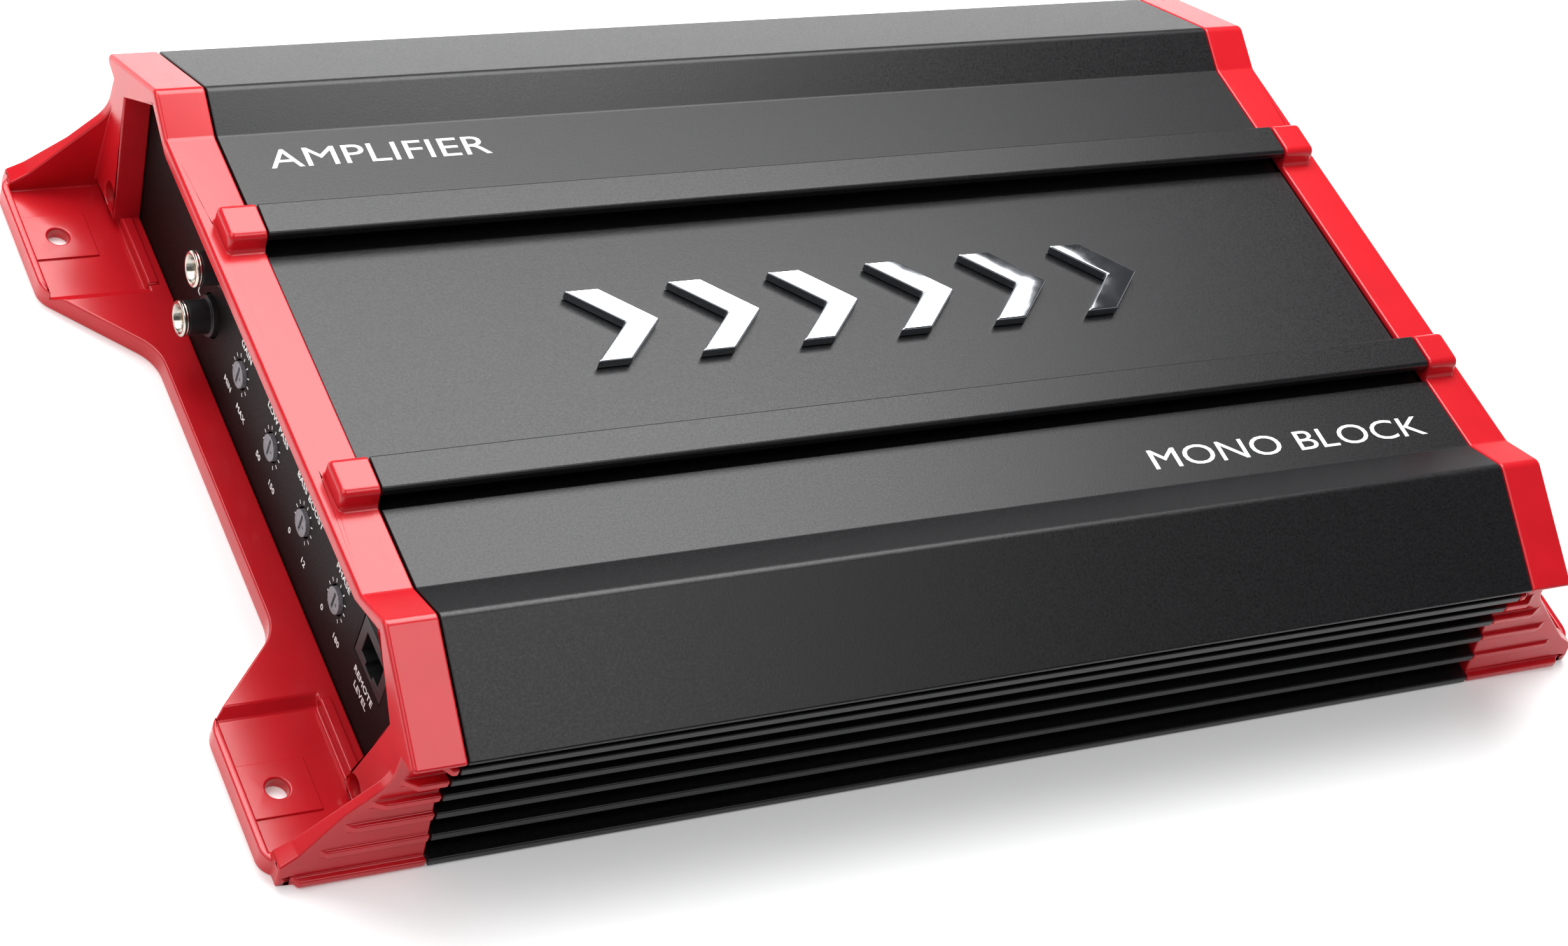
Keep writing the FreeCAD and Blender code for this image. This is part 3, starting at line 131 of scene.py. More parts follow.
class AmplifierSizes(bpy.types.PropertyGroup):
    """Sizes of what the CAD leaves plain."""

    moulding_edge: length("Moulding edge", "Edge radius of the red end caps", 0.5)
    extrusion_edge: length("Extrusion edge", "Edge radius of the heatsink", 0.3)
    sheet_edge: length("Sheet edge", "Edge radius of cut and punched sheet", 0.2)
    plastic_edge: length("Plastic edge", "Edge radius of small plastic parts", 0.25)
    metal_edge: length("Metal edge", "Edge radius of small metal parts", 0.12)
    emblem_edge: length("Emblem edge", "Edge radius of the chevrons", 0.45)
    wire: length("Wire", "Diameter of the enamelled wire", 1.1)
    thread_pitch: length("Thread pitch", "Pitch of the M3 screws", 0.5)
    deck_letters: length("Deck letters", "Capital height of the prints on the decks", 6.0)
    panel_letters: length("Panel letters", "Capital height of the prints on the panels", 1.7)
    ink: length("Ink", "Thickness of the screen print", 0.03)
    chip_spacing: length("Chip spacing", "Grid of the small parts on the boards", 4.0)
    winding_turns: IntProperty(name="Turns", description="Turns on each ring core", default=44,
                               min=8, max=80)
    seed: IntProperty(name="Seed", description="Seed of every random choice", default=7, min=0)


class AmplifierColours(bpy.types.PropertyGroup):
    """Colours of the finishes that show most."""

    red: colour("Red", "Moulded end caps", "#C41822")
    coat: colour("Coat", "Powder coat of the heatsink", "#0F0F11")
    panel: colour("Panel", "Painted end panels", "#0E0909")
    ink: colour("Ink", "Screen print", "#EDEDEB")
    chrome: colour("Chrome", "Plating of the emblem", "#DDE1E6")
    floor: colour("Floor", "Studio floor", "#F7F7F7")


class AmplifierStage(bpy.types.PropertyGroup):
    """Camera and lights."""

    target: FloatVectorProperty(name="Target", description="Point that the camera looks at",
                                default=(-0.0447, -0.0493, 0.0467), subtype="TRANSLATION")
    distance: length("Distance", "Camera to target", 777.0)
    azimuth: angle("Azimuth", "Heading of the view, clockwise from +Y", 41.71)
    elevation: angle("Elevation", "Camera above the horizon", 43.59)
    roll: angle("Roll", "Turn of the camera about its own axis", 24.43)
    lens: number("Lens", "Focal length on a 36 mm sensor, in millimetres", 80.34, 10.0)
    key: number("Key", "Brightness of the large soft box", 7.4)
    fill: number("Fill", "Brightness of the soft box at the left", 2.4)
    front: number("Front", "Brightness of the small soft box in front", 4.0)
    sky: number("Sky", "Brightness of the room at the horizon", 0.66)


class AmplifierWords(bpy.types.PropertyGroup):
    """Plain words printed on the decks."""

    rear: StringProperty(name="Rear", description="Print on the rear deck", default="AMPLIFIER")
    front: StringProperty(name="Front", description="Print on the front deck",
                          default="MONO BLOCK")


# ---- nodes and meshes ----

def add(tree, kind, inputs=None, **settings):
    """Add a node; an input is given by name or index, as a value or as another node's output."""
    made = tree.nodes.new(kind)
    for name, value in settings.items():
        setattr(made, name, value)
    for name, value in (inputs or {}).items():
        if isinstance(value, bpy.types.NodeSocket):
            tree.links.new(value, made.inputs[name])
        else:
            made.inputs[name].default_value = value
    return made


def edit(mesh, work):
    """Run a bmesh function on a mesh."""
    build = bmesh.new()
    build.from_mesh(mesh)
    work(build)
    build.to_mesh(mesh)
    build.free()
    return mesh


def finished(build, name):
    """A new mesh from a bmesh, which is used up."""
    mesh = bpy.data.meshes.new(name)
    build.to_mesh(mesh)
    build.free()
    return mesh


def evaluated(thing):
    """The object's mesh with its modifiers applied; the object is removed."""
    bpy.context.view_layer.update()
    graph = bpy.context.evaluated_depsgraph_get()
    mesh = bpy.data.meshes.new_from_object(thing.evaluated_get(graph), depsgraph=graph)
    bpy.data.objects.remove(thing)
    return mesh


def working_object(name, data):
    """A new object in the scene."""
    thing = bpy.data.objects.new(name, data)
    bpy.context.scene.collection.objects.link(thing)
    return thing


def join(meshes):
    """Several meshes as one."""
    build = bmesh.new()
    for mesh in meshes:
        build.from_mesh(mesh)
    return finished(build, "joined")


def keep(name, mesh, finish, body, slot, *replaced):
    """Make a finished piece of a mesh: named, painted, riding on its body."""
    mesh.name = name
    if finish is not None:
        mesh.materials.clear()
        mesh.materials.append(FINISHES[finish])
    piece = working_object(name, mesh)
    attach(piece, body)
    if replaced:
        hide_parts(*replaced)
    return piece


def whole(mesh):
    """Weld the loose triangles of a CAD mesh and clear the edges inside flat faces."""
    def work(build):
        bmesh.ops.remove_doubles(build, verts=build.verts, dist=WELD)
        bmesh.ops.dissolve_degenerate(build, edges=build.edges, dist=SLIVER)
        bmesh.ops.dissolve_limit(build, verts=build.verts, edges=build.edges,
                                 angle_limit=math.radians(FLAT))
        for face in build.faces:
            face.smooth = True
    return edit(mesh, work)


def room_beside(face, edge):
    """How far a face reaches, measured square from one of its edges."""
    start = edge.verts[0].co
    along = (edge.verts[1].co - start).normalized()
    away = [point.co - start for point in face.verts]
    return max((step - along * step.dot(along)).length for step in away)


def rounded(mesh, radius, segments=2, angle=SHARP):
    """Round every edge sharper than the angle, as tools and coatings leave them.

    A narrow face gets a smaller round, and a corner that strays goes back to the surface.
    """
    def weigh(build):
        share = build.edges.layers.float.new("bevel_weight_edge")
        for edge in build.edges:
            if edge.calc_face_angle(0) > math.radians(angle):
                room = min(room_beside(face, edge) for face in edge.link_faces)
                edge[share] = min(1.0, ROOM_SHARE * room / radius)
        many = [face for face in build.faces if len(face.verts) > 4]
        bmesh.ops.triangulate(build, faces=many, ngon_method="BEAUTY")

    def pull_back(build):
        for point in build.verts:
            place, _, _, distance = surface.find_nearest(point.co)
            if distance > STRAY_SHARE * radius:
                point.co = place
        bmesh.ops.dissolve_degenerate(build, edges=build.edges, dist=SLIVER)

    edit(mesh, weigh)
    surface = BVHTree.FromPolygons([point.co.copy() for point in mesh.vertices],
                                   [list(face.vertices) for face in mesh.polygons])
    thing = working_object("rounding", mesh)
    bevel = thing.modifiers.new("Edges", "BEVEL")
    bevel.limit_method = "WEIGHT"
    bevel.width = radius
    bevel.segments = segments
    bevel.use_clamp_overlap = False
    bevel.loop_slide = False
    shaped = edit(evaluated(thing), pull_back)
    even = working_object("shading", shaped)
    even.modifiers.new("Shading", "WEIGHTED_NORMAL").weight = 80
    return evaluated(even)


def finish_node(node, piece, finish, slot, radius, segments=2, body=CHASSIS):
    """Stand a copy of a CAD node's mesh, its edges rounded, in for that node."""
    mesh = rounded(whole(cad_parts[node].data.copy()), radius, segments)
    return keep(piece, mesh, finish, body, slot, node)


def surface_below(node, x, y):
    """Height of a node's top surface at a place."""
    build = bmesh.new()
    build.from_mesh(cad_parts[node].data)
    tree = BVHTree.FromBMesh(build)
    build.free()
    start = Vector((x, y, CAD_BOX[1].z + 1.0))
    place = tree.ray_cast(start, Vector((0, 0, -1)))[0]
    if place is None:
        raise RuntimeError("nothing of %s is there" % node)
    return place.z


def solids_of(node):
    """The (lowest, highest) corners of each separate solid in a node."""
    build = bmesh.new()
    build.from_mesh(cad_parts[node].data)
    bmesh.ops.remove_doubles(build, verts=build.verts, dist=WELD)
    waiting = set(build.verts)
    boxes = []
    while waiting:
        reached = [waiting.pop()]
        low = reached[0].co.copy()
        high = low.copy()
        while reached:
            point = reached.pop()
            low = Vector(map(min, low, point.co))
            high = Vector(map(max, high, point.co))
            for edge in point.link_edges:
                other = edge.other_vert(point)
                if other in waiting:
                    waiting.discard(other)
                    reached.append(other)
        boxes.append((low, high))
    build.free()
    return sorted(boxes, key=lambda box: tuple(round(value, 5) for value in box[0]))


def middle_of(box):
    """The middle of a (lowest, highest) box."""
    return [(low + high) / 2 for low, high in zip(*box)]


def revolved(profile, sides):
    """A bmesh swept about Z from (radius, height) points; a radius of 0 is one point."""
    build = bmesh.new()
    rings = []
    for radius, height in profile:
        angles = [2 * math.pi * i / sides for i in range(sides if radius else 1)]
        rings.append([build.verts.new((radius * math.cos(angle), radius * math.sin(angle),
                                       height)) for angle in angles])
    for below, above in zip(rings, rings[1:]):
        for i in range(sides):
            j = (i + 1) % sides
            corners = [below[i % len(below)], below[j % len(below)],
                       above[j % len(above)], above[i % len(above)]]
            build.faces.new(list(dict.fromkeys(corners)))
    for face in build.faces:
        face.smooth = True
    return build


def turned(profile, sides=32):
    """A closed solid of revolution about Z, its faces outwards."""
    build = revolved(profile, sides)
    bmesh.ops.recalc_face_normals(build, faces=build.faces)
    return finished(build, "turned")


def along_x(mesh, low, high):
    """Lay a mesh that stands on z = 0 along +X, from the -X side of a box."""
    centre = (low + high) / 2
    mesh.transform(Matrix.Translation((low.x, centre.y, centre.z))
                   @ Matrix.Rotation(QUARTER_TURN, 4, "Y"))
    return mesh


def plate(outline, thickness):
    """A flat plate from (x, y) corners, its underside at z = 0."""
    build = bmesh.new()
    face = build.faces.new([build.verts.new((x, y, 0)) for x, y in outline])
    grown = bmesh.ops.extrude_face_region(build, geom=[face])
    top = [item for item in grown["geom"] if isinstance(item, bmesh.types.BMVert)]
    bmesh.ops.translate(build, verts=top, vec=(0, 0, thickness))
    bmesh.ops.recalc_face_normals(build, faces=build.faces)
    return finished(build, "plate")


def slab(size_x, size_y, thickness):
    """A rectangular plate centred on the origin."""
    x, y = size_x / 2, size_y / 2
    return plate([(-x, -y), (x, -y), (x, y), (-x, y)], thickness)


def lettering(words, capital, thickness, matrix, widen=1.0, weight=0.0, align="CENTER"):
    """Raised ink lettering as a mesh, laid on a plane."""
    curve = bpy.data.curves.new("lettering", "FONT")
    curve.body = words
    curve.size = capital / CAPITAL_SHARE
    curve.align_x = align
    curve.extrude = thickness / 2
    curve.offset = weight
    curve.resolution_u = 4
    curve.space_character = 1.0 + weight / capital * 2
    mesh = evaluated(working_object("lettering", curve))
    mesh.transform(matrix @ Matrix.Diagonal((widen, 1, 1, 1)))

    def weld(build):
        bmesh.ops.remove_doubles(build, verts=build.verts, dist=SLIVER)
    return edit(mesh, weld)


def facing_left(y, z, x):
    """Matrix of a plane at the left panel, read from -X."""
    return Matrix(((0, 0, -1, x), (-1, 0, 0, y), (0, 1, 0, z), (0, 0, 0, 1)))


def facing_right(y, z, x):
    """Matrix of a plane at the right panel, read from +X."""
    return Matrix(((0, 0, 1, x), (1, 0, 0, y), (0, 1, 0, z), (0, 0, 0, 1)))


# ---- geometry node trees ----

def new_tree(name, sockets):
    """A geometry tree with a Geometry input and output and the named inputs."""
    tree = bpy.data.node_groups.new(name, "GeometryNodeTree")
    tree.interface.new_socket("Geometry", in_out="INPUT", socket_type="NodeSocketGeometry")
    for label, kind in sockets:
        tree.interface.new_socket(label, in_out="INPUT", socket_type="NodeSocket" + kind)
    tree.interface.new_socket("Geometry", in_out="OUTPUT", socket_type="NodeSocketGeometry")
    return tree, tree.nodes.new("NodeGroupInput").outputs


def close_tree(tree, geometry, material):
    """End a tree in Realize Instances and Set Material."""
    real = add(tree, "GeometryNodeRealizeInstances", {"Geometry": geometry})
    painted = add(tree, "GeometryNodeSetMaterial",
                  {"Geometry": real.outputs[0], "Material": material})
    add(tree, "NodeGroupOutput", {0: painted.outputs[0]})
    return tree


def run_tree(tree, values, base=None):
    """Run a tree on a mesh, or on nothing, and return the plain mesh that it makes."""
    thing = working_object(tree.name, base or bpy.data.meshes.new("empty"))
    modifier = thing.modifiers.new(tree.name, "NODES")
    modifier.node_group = tree
    for socket in tree.interface.items_tree:
        if socket.item_type == "SOCKET" and socket.in_out == "INPUT" and socket.name in values:
            modifier[socket.identifier] = values[socket.name]
    return evaluated(thing)


def reckon(tree, operation, first, second=0.0):
    """The result of one Math node."""
    return add(tree, "ShaderNodeMath", {0: first, 1: second}, operation=operation).outputs[0]


def copies(tree, part, points, rotation=None, chosen=None):
    """Instances of an object on points."""
    model = add(tree, "GeometryNodeObjectInfo", {"Object": part})
    inputs = {"Points": points, "Instance": model.outputs["Geometry"]}
    if rotation is not None:
        inputs["Rotation"] = rotation
    if chosen is not None:
        inputs["Selection"] = chosen
    return add(tree, "GeometryNodeInstanceOnPoints", inputs).outputs[0]


def placed_parts_tree():
    """One part on every point, along the point's facing, each turned by chance."""
    tree, given = new_tree("Placed parts", (("Part", "Object"), ("Turn", "Float"),
                                            ("Seed", "Int"), ("Finish", "Material")))
    facing = add(tree, "GeometryNodeInputNamedAttribute", {"Name": "facing"},
                 data_type="FLOAT_VECTOR")
    along = add(tree, "FunctionNodeAlignRotationToVector", {"Vector": facing.outputs[0]},
                axis="Z")
    chance = add(tree, "FunctionNodeRandomValue", {"Seed": given["Seed"]}, data_type="FLOAT")
    turn = reckon(tree, "MULTIPLY", chance.outputs[1], given["Turn"])
    spin = add(tree, "ShaderNodeCombineXYZ", {"Z": turn})
    both = add(tree, "FunctionNodeRotateRotation",
               {"Rotation": along.outputs[0], "Rotate By": spin.outputs[0]},
               rotation_space="LOCAL")
    spread = copies(tree, given["Part"], given["Geometry"], both.outputs[0])
    return close_tree(tree, spread, given["Finish"])


def winding_tree():
    """Wire wound on a ring core: a closed coil whose section is a rounded rectangle."""
    tree, given = new_tree("Winding", (("Outer radius", "Float"), ("Bore radius", "Float"),
                                       ("Height", "Float"), ("Turns", "Int"),
                                       ("Wire radius", "Float"), ("Finish", "Material")))

    points_a_turn = 28.0
    squareness = 0.45

    def math_of(operation, first, second=0.0):
        return reckon(tree, operation, first, second)

    def squared_wave(operation, angle, half):
        """A sine or cosine flattened towards a square wave, times a half size."""
        wave = math_of(operation, angle)
        flat = math_of("POWER", math_of("ABSOLUTE", wave), squareness)
        return math_of("MULTIPLY", math_of("MULTIPLY", flat, math_of("SIGN", wave)), half)

    points = math_of("MULTIPLY", given["Turns"], points_a_turn)
    line = add(tree, "GeometryNodeCurvePrimitiveLine")
    path = add(tree, "GeometryNodeResampleCurve", {"Curve": line.outputs[0], "Count": points})
    along = add(tree, "GeometryNodeSplineParameter").outputs["Factor"]
    round_core = math_of("MULTIPLY", along, 2 * math.pi)
    round_section = math_of("MULTIPLY", round_core, given["Turns"])
    slim_out = math_of("SUBTRACT", given["Outer radius"], given["Wire radius"])
    slim_in = math_of("ADD", given["Bore radius"], given["Wire radius"])
    middle = math_of("MULTIPLY", math_of("ADD", slim_out, slim_in), 0.5)
    half_width = math_of("MULTIPLY", math_of("SUBTRACT", slim_out, slim_in), 0.5)
    half_height = math_of("SUBTRACT", math_of("MULTIPLY", given["Height"], 0.5),
                          given["Wire radius"])
    reach = math_of("ADD", middle, squared_wave("COSINE", round_section, half_width))
    spot = add(tree, "ShaderNodeCombineXYZ",
               {"X": math_of("MULTIPLY", reach, math_of("COSINE", round_core)),
                "Y": math_of("MULTIPLY", reach, math_of("SINE", round_core)),
                "Z": squared_wave("SINE", round_section, half_height)})
    moved = add(tree, "GeometryNodeSetPosition",
                {"Geometry": path.outputs[0], "Position": spot.outputs[0]})
    section = add(tree, "GeometryNodeCurvePrimitiveCircle",
                  {"Resolution": 6, "Radius": given["Wire radius"]})
    wire = add(tree, "GeometryNodeCurveToMesh",
               {"Curve": moved.outputs[0], "Profile Curve": section.outputs[0],
                "Fill Caps": True})
    return close_tree(tree, wire.outputs[0], given["Finish"])


def chip_grid_tree():
    """Small parts on a board's grid, some places left empty, some turned a quarter."""
    tree, given = new_tree("Chip grid", (("Part", "Object"), ("Length", "Float"),
                                         ("Width", "Float"), ("Spacing", "Float"),
                                         ("Filled", "Float"), ("Seed", "Int"),
                                         ("Finish", "Material")))
    counts = []
    for side in ("Length", "Width"):
        steps = reckon(tree, "DIVIDE", given[side], given["Spacing"])
        counts.append(reckon(tree, "ADD", steps, 1.0))
    grid = add(tree, "GeometryNodeMeshGrid", {"Size X": given["Length"], "Size Y": given["Width"],
                                              "Vertices X": counts[0], "Vertices Y": counts[1]})
    chance = add(tree, "FunctionNodeRandomValue",
                 {"Probability": given["Filled"], "Seed": given["Seed"]}, data_type="BOOLEAN")
    later = reckon(tree, "ADD", given["Seed"], 1.0)
    quarter = add(tree, "FunctionNodeRandomValue", {"Seed": later, 4: 0, 5: 1},
                  data_type="INT")
    angle = reckon(tree, "MULTIPLY", quarter.outputs[2], QUARTER_TURN)
    turn = add(tree, "ShaderNodeCombineXYZ", {"Z": angle})
    spread = copies(tree, given["Part"], grid.outputs["Mesh"], turn.outputs[0],
                    chance.outputs[3])
    return close_tree(tree, spread, given["Finish"])


def dial_marks_tree():
    """Printed ticks on an arc round a trimmer."""
    tree, given = new_tree("Dial marks", (("Radius", "Float"), ("Sweep", "Float"),
                                          ("Count", "Int"), ("Tick length", "Float"),
                                          ("Tick width", "Float"), ("Ink", "Float"),
                                          ("Finish", "Material")))
    half = reckon(tree, "MULTIPLY", given["Sweep"], -0.5)
    start = reckon(tree, "ADD", half, QUARTER_TURN)
    arc = add(tree, "GeometryNodeCurveArc",
              {"Resolution": given["Count"], "Radius": given["Radius"],
               "Start Angle": start, "Sweep Angle": given["Sweep"]}, mode="RADIUS")
    size = add(tree, "ShaderNodeCombineXYZ", {"X": given["Tick length"], "Y": given["Tick width"],
                                              "Z": given["Ink"]})
    tick = add(tree, "GeometryNodeMeshCube", {"Size": size.outputs[0]})
    spot = add(tree, "GeometryNodeInputPosition")
    outward = add(tree, "FunctionNodeAlignRotationToVector", {"Vector": spot.outputs[0]},
                  axis="X")
    spread = add(tree, "GeometryNodeInstanceOnPoints",
                 {"Points": arc.outputs[0], "Instance": tick.outputs[0],
                  "Rotation": outward.outputs[0]})
    return close_tree(tree, spread.outputs[0], given["Finish"])


def row_tree():
    """Copies of one part in a straight row."""
    tree, given = new_tree("Row", (("Part", "Object"), ("Count", "Int"), ("Pitch", "Float"),
                                   ("Finish", "Material")))
    step = add(tree, "ShaderNodeCombineXYZ", {"X": given["Pitch"]})
    line = add(tree, "GeometryNodeMeshLine", {"Count": given["Count"], "Offset": step.outputs[0]})
    return close_tree(tree, copies(tree, given["Part"], line.outputs[0]), given["Finish"])


def on_points(part, spots, facing, turn, finish):
    """A part's mesh repeated at spots, looking along facing; the part's mesh is used up."""
    sizes = bpy.context.scene.amplifier_sizes
    points = bpy.data.meshes.new("spots")
    points.from_pydata([tuple(spot) for spot in spots], [], [])
    mark = points.attributes.new("facing", "FLOAT_VECTOR", "POINT")
    for item, way in zip(mark.data, facing):
        item.vector = way
    model = working_object("part_model", part)
    made = run_tree(placed_parts_tree(), {"Part": model, "Turn": turn, "Seed": sizes.seed,
                                          "Finish": FINISHES[finish]}, points)
    bpy.data.objects.remove(model)
    leftover = made.attributes.get("facing")
    if leftover is not None:
        made.attributes.remove(leftover)
    return made


# ---- finishes ----

def start_finish(name, metallic=0.0):
    """A new material: its tree, its shader and the object coordinates."""
    material = bpy.data.materials.new(name)
    material.use_nodes = True
    tree = material.node_tree
    tree.nodes.clear()
    place = add(tree, "ShaderNodeTexCoord").outputs["Object"]
    shader = add(tree, "ShaderNodeBsdfPrincipled", {"Metallic": metallic})
    add(tree, "ShaderNodeOutputMaterial", {"Surface": shader.outputs["BSDF"]})
    return material, tree, shader, place


def ranged(tree, value, low, high, least, most):
    """A value mapped from low..high to least..most."""
    return add(tree, "ShaderNodeMapRange",
               {"Value": value, "From Min": low, "From Max": high, "To Min": least,
                "To Max": most}).outputs[0]


def blended(tree, share, first, second):
    """A colour between two, each a colour or another node's output."""
    return add(tree, "ShaderNodeMix", {"Factor": share, 6: first, 7: second},
               data_type="RGBA").outputs[2]


def noise(tree, place, grain, **inputs):
    """Noise whose grain is a length in millimetres."""
    return add(tree, "ShaderNodeTexNoise", {"Vector": place, "Scale": 1 / (grain * MM),
                                            **inputs}).outputs["Fac"]


def relief_of(tree, height, depth, **inputs):
    """A normal bumped by a height, with its depth in millimetres."""
    return add(tree, "ShaderNodeBump", {"Height": height, "Strength": 1.0,
                                        "Distance": depth * MM, **inputs}).outputs[0]


def paint(tree, shader, base, rough=None, normal=None):
    """Join what was worked out to the shader."""
    for name, source in (("Base Color", base), ("Roughness", rough), ("Normal", normal)):
        if source is not None:
            tree.links.new(source, shader.inputs[name])


def grained(name, dark, light, roughness, grain, depth, metallic=0.0, detail=3.0, gloss=0.5):
    """A finish mottled between two colours by a grain of a real size, with its relief.

    grain and depth are in millimetres, roughness is (smoothest, roughest), and gloss is the
    shader's specular level.
    """
    material, tree, shader, place = start_finish(name, metallic)
    shader.inputs["Specular IOR Level"].default_value = gloss
    grains = noise(tree, place, grain, Detail=detail, Roughness=0.6)
    share = ranged(tree, grains, 0.35, 0.65, 0.0, 1.0)
    paint(tree, shader, blended(tree, share, dark, light),
          ranged(tree, grains, 0.3, 0.7, *roughness), relief_of(tree, grains, depth))
    return material


def shade_of(rgba, factor):
    """A linear colour made darker or lighter."""
    return (*[min(1.0, channel * factor) for channel in rgba[:3]], 1.0)


def powder_coat():
    """Black polyester powder coat baked on extruded aluminium.

    A sandy grain of about half a millimetre scatters the soft box into an even dark grey sheen,
    and pale specks are painted into the colour at single grains: a painted glint that stands in
    for grains facing the light.
    """
    coat = tuple(bpy.context.scene.amplifier_colours.coat)
    material, tree, shader, place = start_finish("powder_coated_aluminium")
    shader.inputs["Specular IOR Level"].default_value = 0.42
    coarse = noise(tree, place, 0.55, Detail=2.0, Roughness=0.6)
    share = ranged(tree, coarse, 0.32, 0.68, 0.0, 1.0)
    ground = blended(tree, share, shade_of(coat, 0.62), shade_of(coat, 1.45))
    # painted glint: pale dots at the grain centres, lighter whatever the light, stand in for
    # grains that catch the soft box
    grains = add(tree, "ShaderNodeTexVoronoi", {"Vector": place, "Scale": 1 / (0.9 * MM)})
    painted_glint = ranged(tree, grains.outputs["Distance"], 0.10, 0.22, 0.30, 0.0)
    paint(tree, shader, blended(tree, painted_glint, ground, shade_of(coat, 5.0)),
          ranged(tree, coarse, 0.3, 0.7, 0.29, 0.39), relief_of(tree, coarse, 0.016))
    return material


def red_moulding():
    """Gloss red ABS, injection moulded and polished.

    Long soft highlights with a faint waviness of a few millimetres where the wall has sunk, and
    a fine haze that keeps the gloss from looking wet.
    """
    red = tuple(bpy.context.scene.amplifier_colours.red)
    material, tree, shader, place = start_finish("gloss_red_abs")
    waves = noise(tree, place, 9.0, Detail=1.0)
    haze = noise(tree, place, 0.5, Detail=2.0)
    sink = relief_of(tree, waves, 0.03)
    paint(tree, shader, blended(tree, waves, shade_of(red, 0.9), shade_of(red, 1.08)),
          ranged(tree, haze, 0.0, 1.0, 0.17, 0.27), relief_of(tree, haze, 0.0012, Normal=sink))
    return material


def board_mask():
    """Green solder mask on glass-epoxy board.

    Copper tracks show through as a paler green net, and the glass weave mottles the gloss.
    """
    material, tree, shader, place = start_finish("green_solder_mask")
    tracks = add(tree, "ShaderNodeTexBrick",
                 {"Vector": place, "Scale": 1.0, "Mortar Size": 0.35 * MM,
                  "Mortar Smooth": 0.1, "Brick Width": 11 * MM, "Row Height": 3.2 * MM,
                  "Color1": linear("#0C3D1E"), "Color2": linear("#0F4A24"),
                  "Mortar": linear("#1F6B38")})
    weave = noise(tree, place, 0.4)
    paint(tree, shader, tracks.outputs["Color"], ranged(tree, weave, 0.0, 1.0, 0.22, 0.42),
          relief_of(tree, tracks.outputs["Fac"], 0.04))
    return material


def capacitor_sleeve():
    """Blue-black shrink sleeve on an aluminium can, its gloss uneven where it shrank."""
    material, tree, shader, place = start_finish("shrink_sleeve")
    cell = noise(tree, place, 1.2)
    paint(tree, shader, blended(tree, cell, linear("#14151C"), linear("#1D1F29")),
          ranged(tree, cell, 0.0, 1.0, 0.25, 0.4))
    return material


def see_through(name, hex_text, roughness):
    """Tinted clear plastic, moulded: light passes and the flow marks bend it a little."""
    material, tree, shader, place = start_finish(name)
    flow = noise(tree, place, 1.5)
    shader.inputs["Transmission Weight"].default_value = 0.7
    shader.inputs["Roughness"].default_value = roughness
    shader.inputs["IOR"].default_value = 1.58
    tint = linear(hex_text)
    paint(tree, shader, blended(tree, flow, shade_of(tint, 0.85), tint),
          normal=relief_of(tree, flow, 0.01))
    return material


# key: name, darker and lighter colour, (smoothest, roughest), grain and depth in mm, metallic
PLAIN_FINISHES = {
    # copper wire under clear enamel: warm metal whose tone shifts from turn to turn
    "copper": ("enamelled_copper_wire", "#8E4420", "#C4713C", (0.18, 0.34), 2.5, 0.01, 1.0),
    # nickel over turned brass: warm grey mirror, lightly hazed
    "nickel": ("nickel_plated_brass", "#B9B3A8", "#D6D1C8", (0.14, 0.26), 0.35, 0.004, 1.0),
    # glass-filled nylon: the fibres at the skin make a dull, slightly speckled black
    "nylon": ("black_glass_filled_nylon", "#0F0F11", "#1B1B1E", (0.38, 0.55), 0.4, 0.012),
    # acetal: waxy mid grey, faintly mottled
    "acetal": ("grey_acetal", "#6B6C70", "#8A8B90", (0.32, 0.45), 0.6, 0.006),
    # black oxide on steel: oily blue-black
    "black_oxide": ("black_oxide_steel", "#141518", "#24262B", (0.3, 0.45), 0.3, 0.004, 0.8),
    # electro-coated sheet: semi-matt, with a soft mottle of about a millimetre
    "e_coat": ("black_coated_steel_sheet", "#121214", "#1C1C1F", (0.42, 0.56), 1.1, 0.01),
    # bright zinc on spring steel: cool grey with a broad soft mottle
    "zinc": ("bright_zinc_steel", "#9A9DA3", "#C2C4C4", (0.22, 0.36), 1.8, 0.006, 1.0),
    # tin on metal strip: soft pale metal, hazy
    "tin": ("tin_plated_strip", "#A9AAA8", "#CDCDCA", (0.25, 0.4), 0.8, 0.005, 1.0),
    # gold flash on brass: thin, so the brass's grain still shows
    "gold": ("gold_flashed_brass", "#C99A3C", "#E6C26A", (0.16, 0.28), 0.5, 0.004, 1.0),
    # epoxy moulding compound: charcoal, dulled by its filler
    "epoxy": ("black_epoxy_package", "#17171A", "#26262A", (0.42, 0.6), 0.25, 0.008),
    # sintered ferrite: dense grey-black ceramic, slightly rough
    "ferrite": ("sintered_ferrite", "#1B1B1D", "#2F2F33", (0.4, 0.62), 0.7, 0.02),
    # silicone sheet: soft matt grey with a dusty face
    "silicone": ("silicone_pad", "#787B80", "#95989C", (0.7, 0.85), 0.5, 0.01),
    # unfilled polyamide: milky white, a little waxy
    "white_nylon": ("white_nylon", "#D9D6CC", "#ECEAE2", (0.3, 0.42), 1.5, 0.01),
    # glazed barium titanate: tan chips with a gritty skin
    "ceramic": ("tan_ceramic_chip", "#8C6A45", "#A98458", (0.45, 0.6), 0.3, 0.01),
    # drawn aluminium lid: soft grey metal, lightly hazed
    "aluminium": ("drawn_aluminium_can", "#B4B6B9", "#D2D4D6", (0.24, 0.38), 0.6, 0.006, 1.0),
}


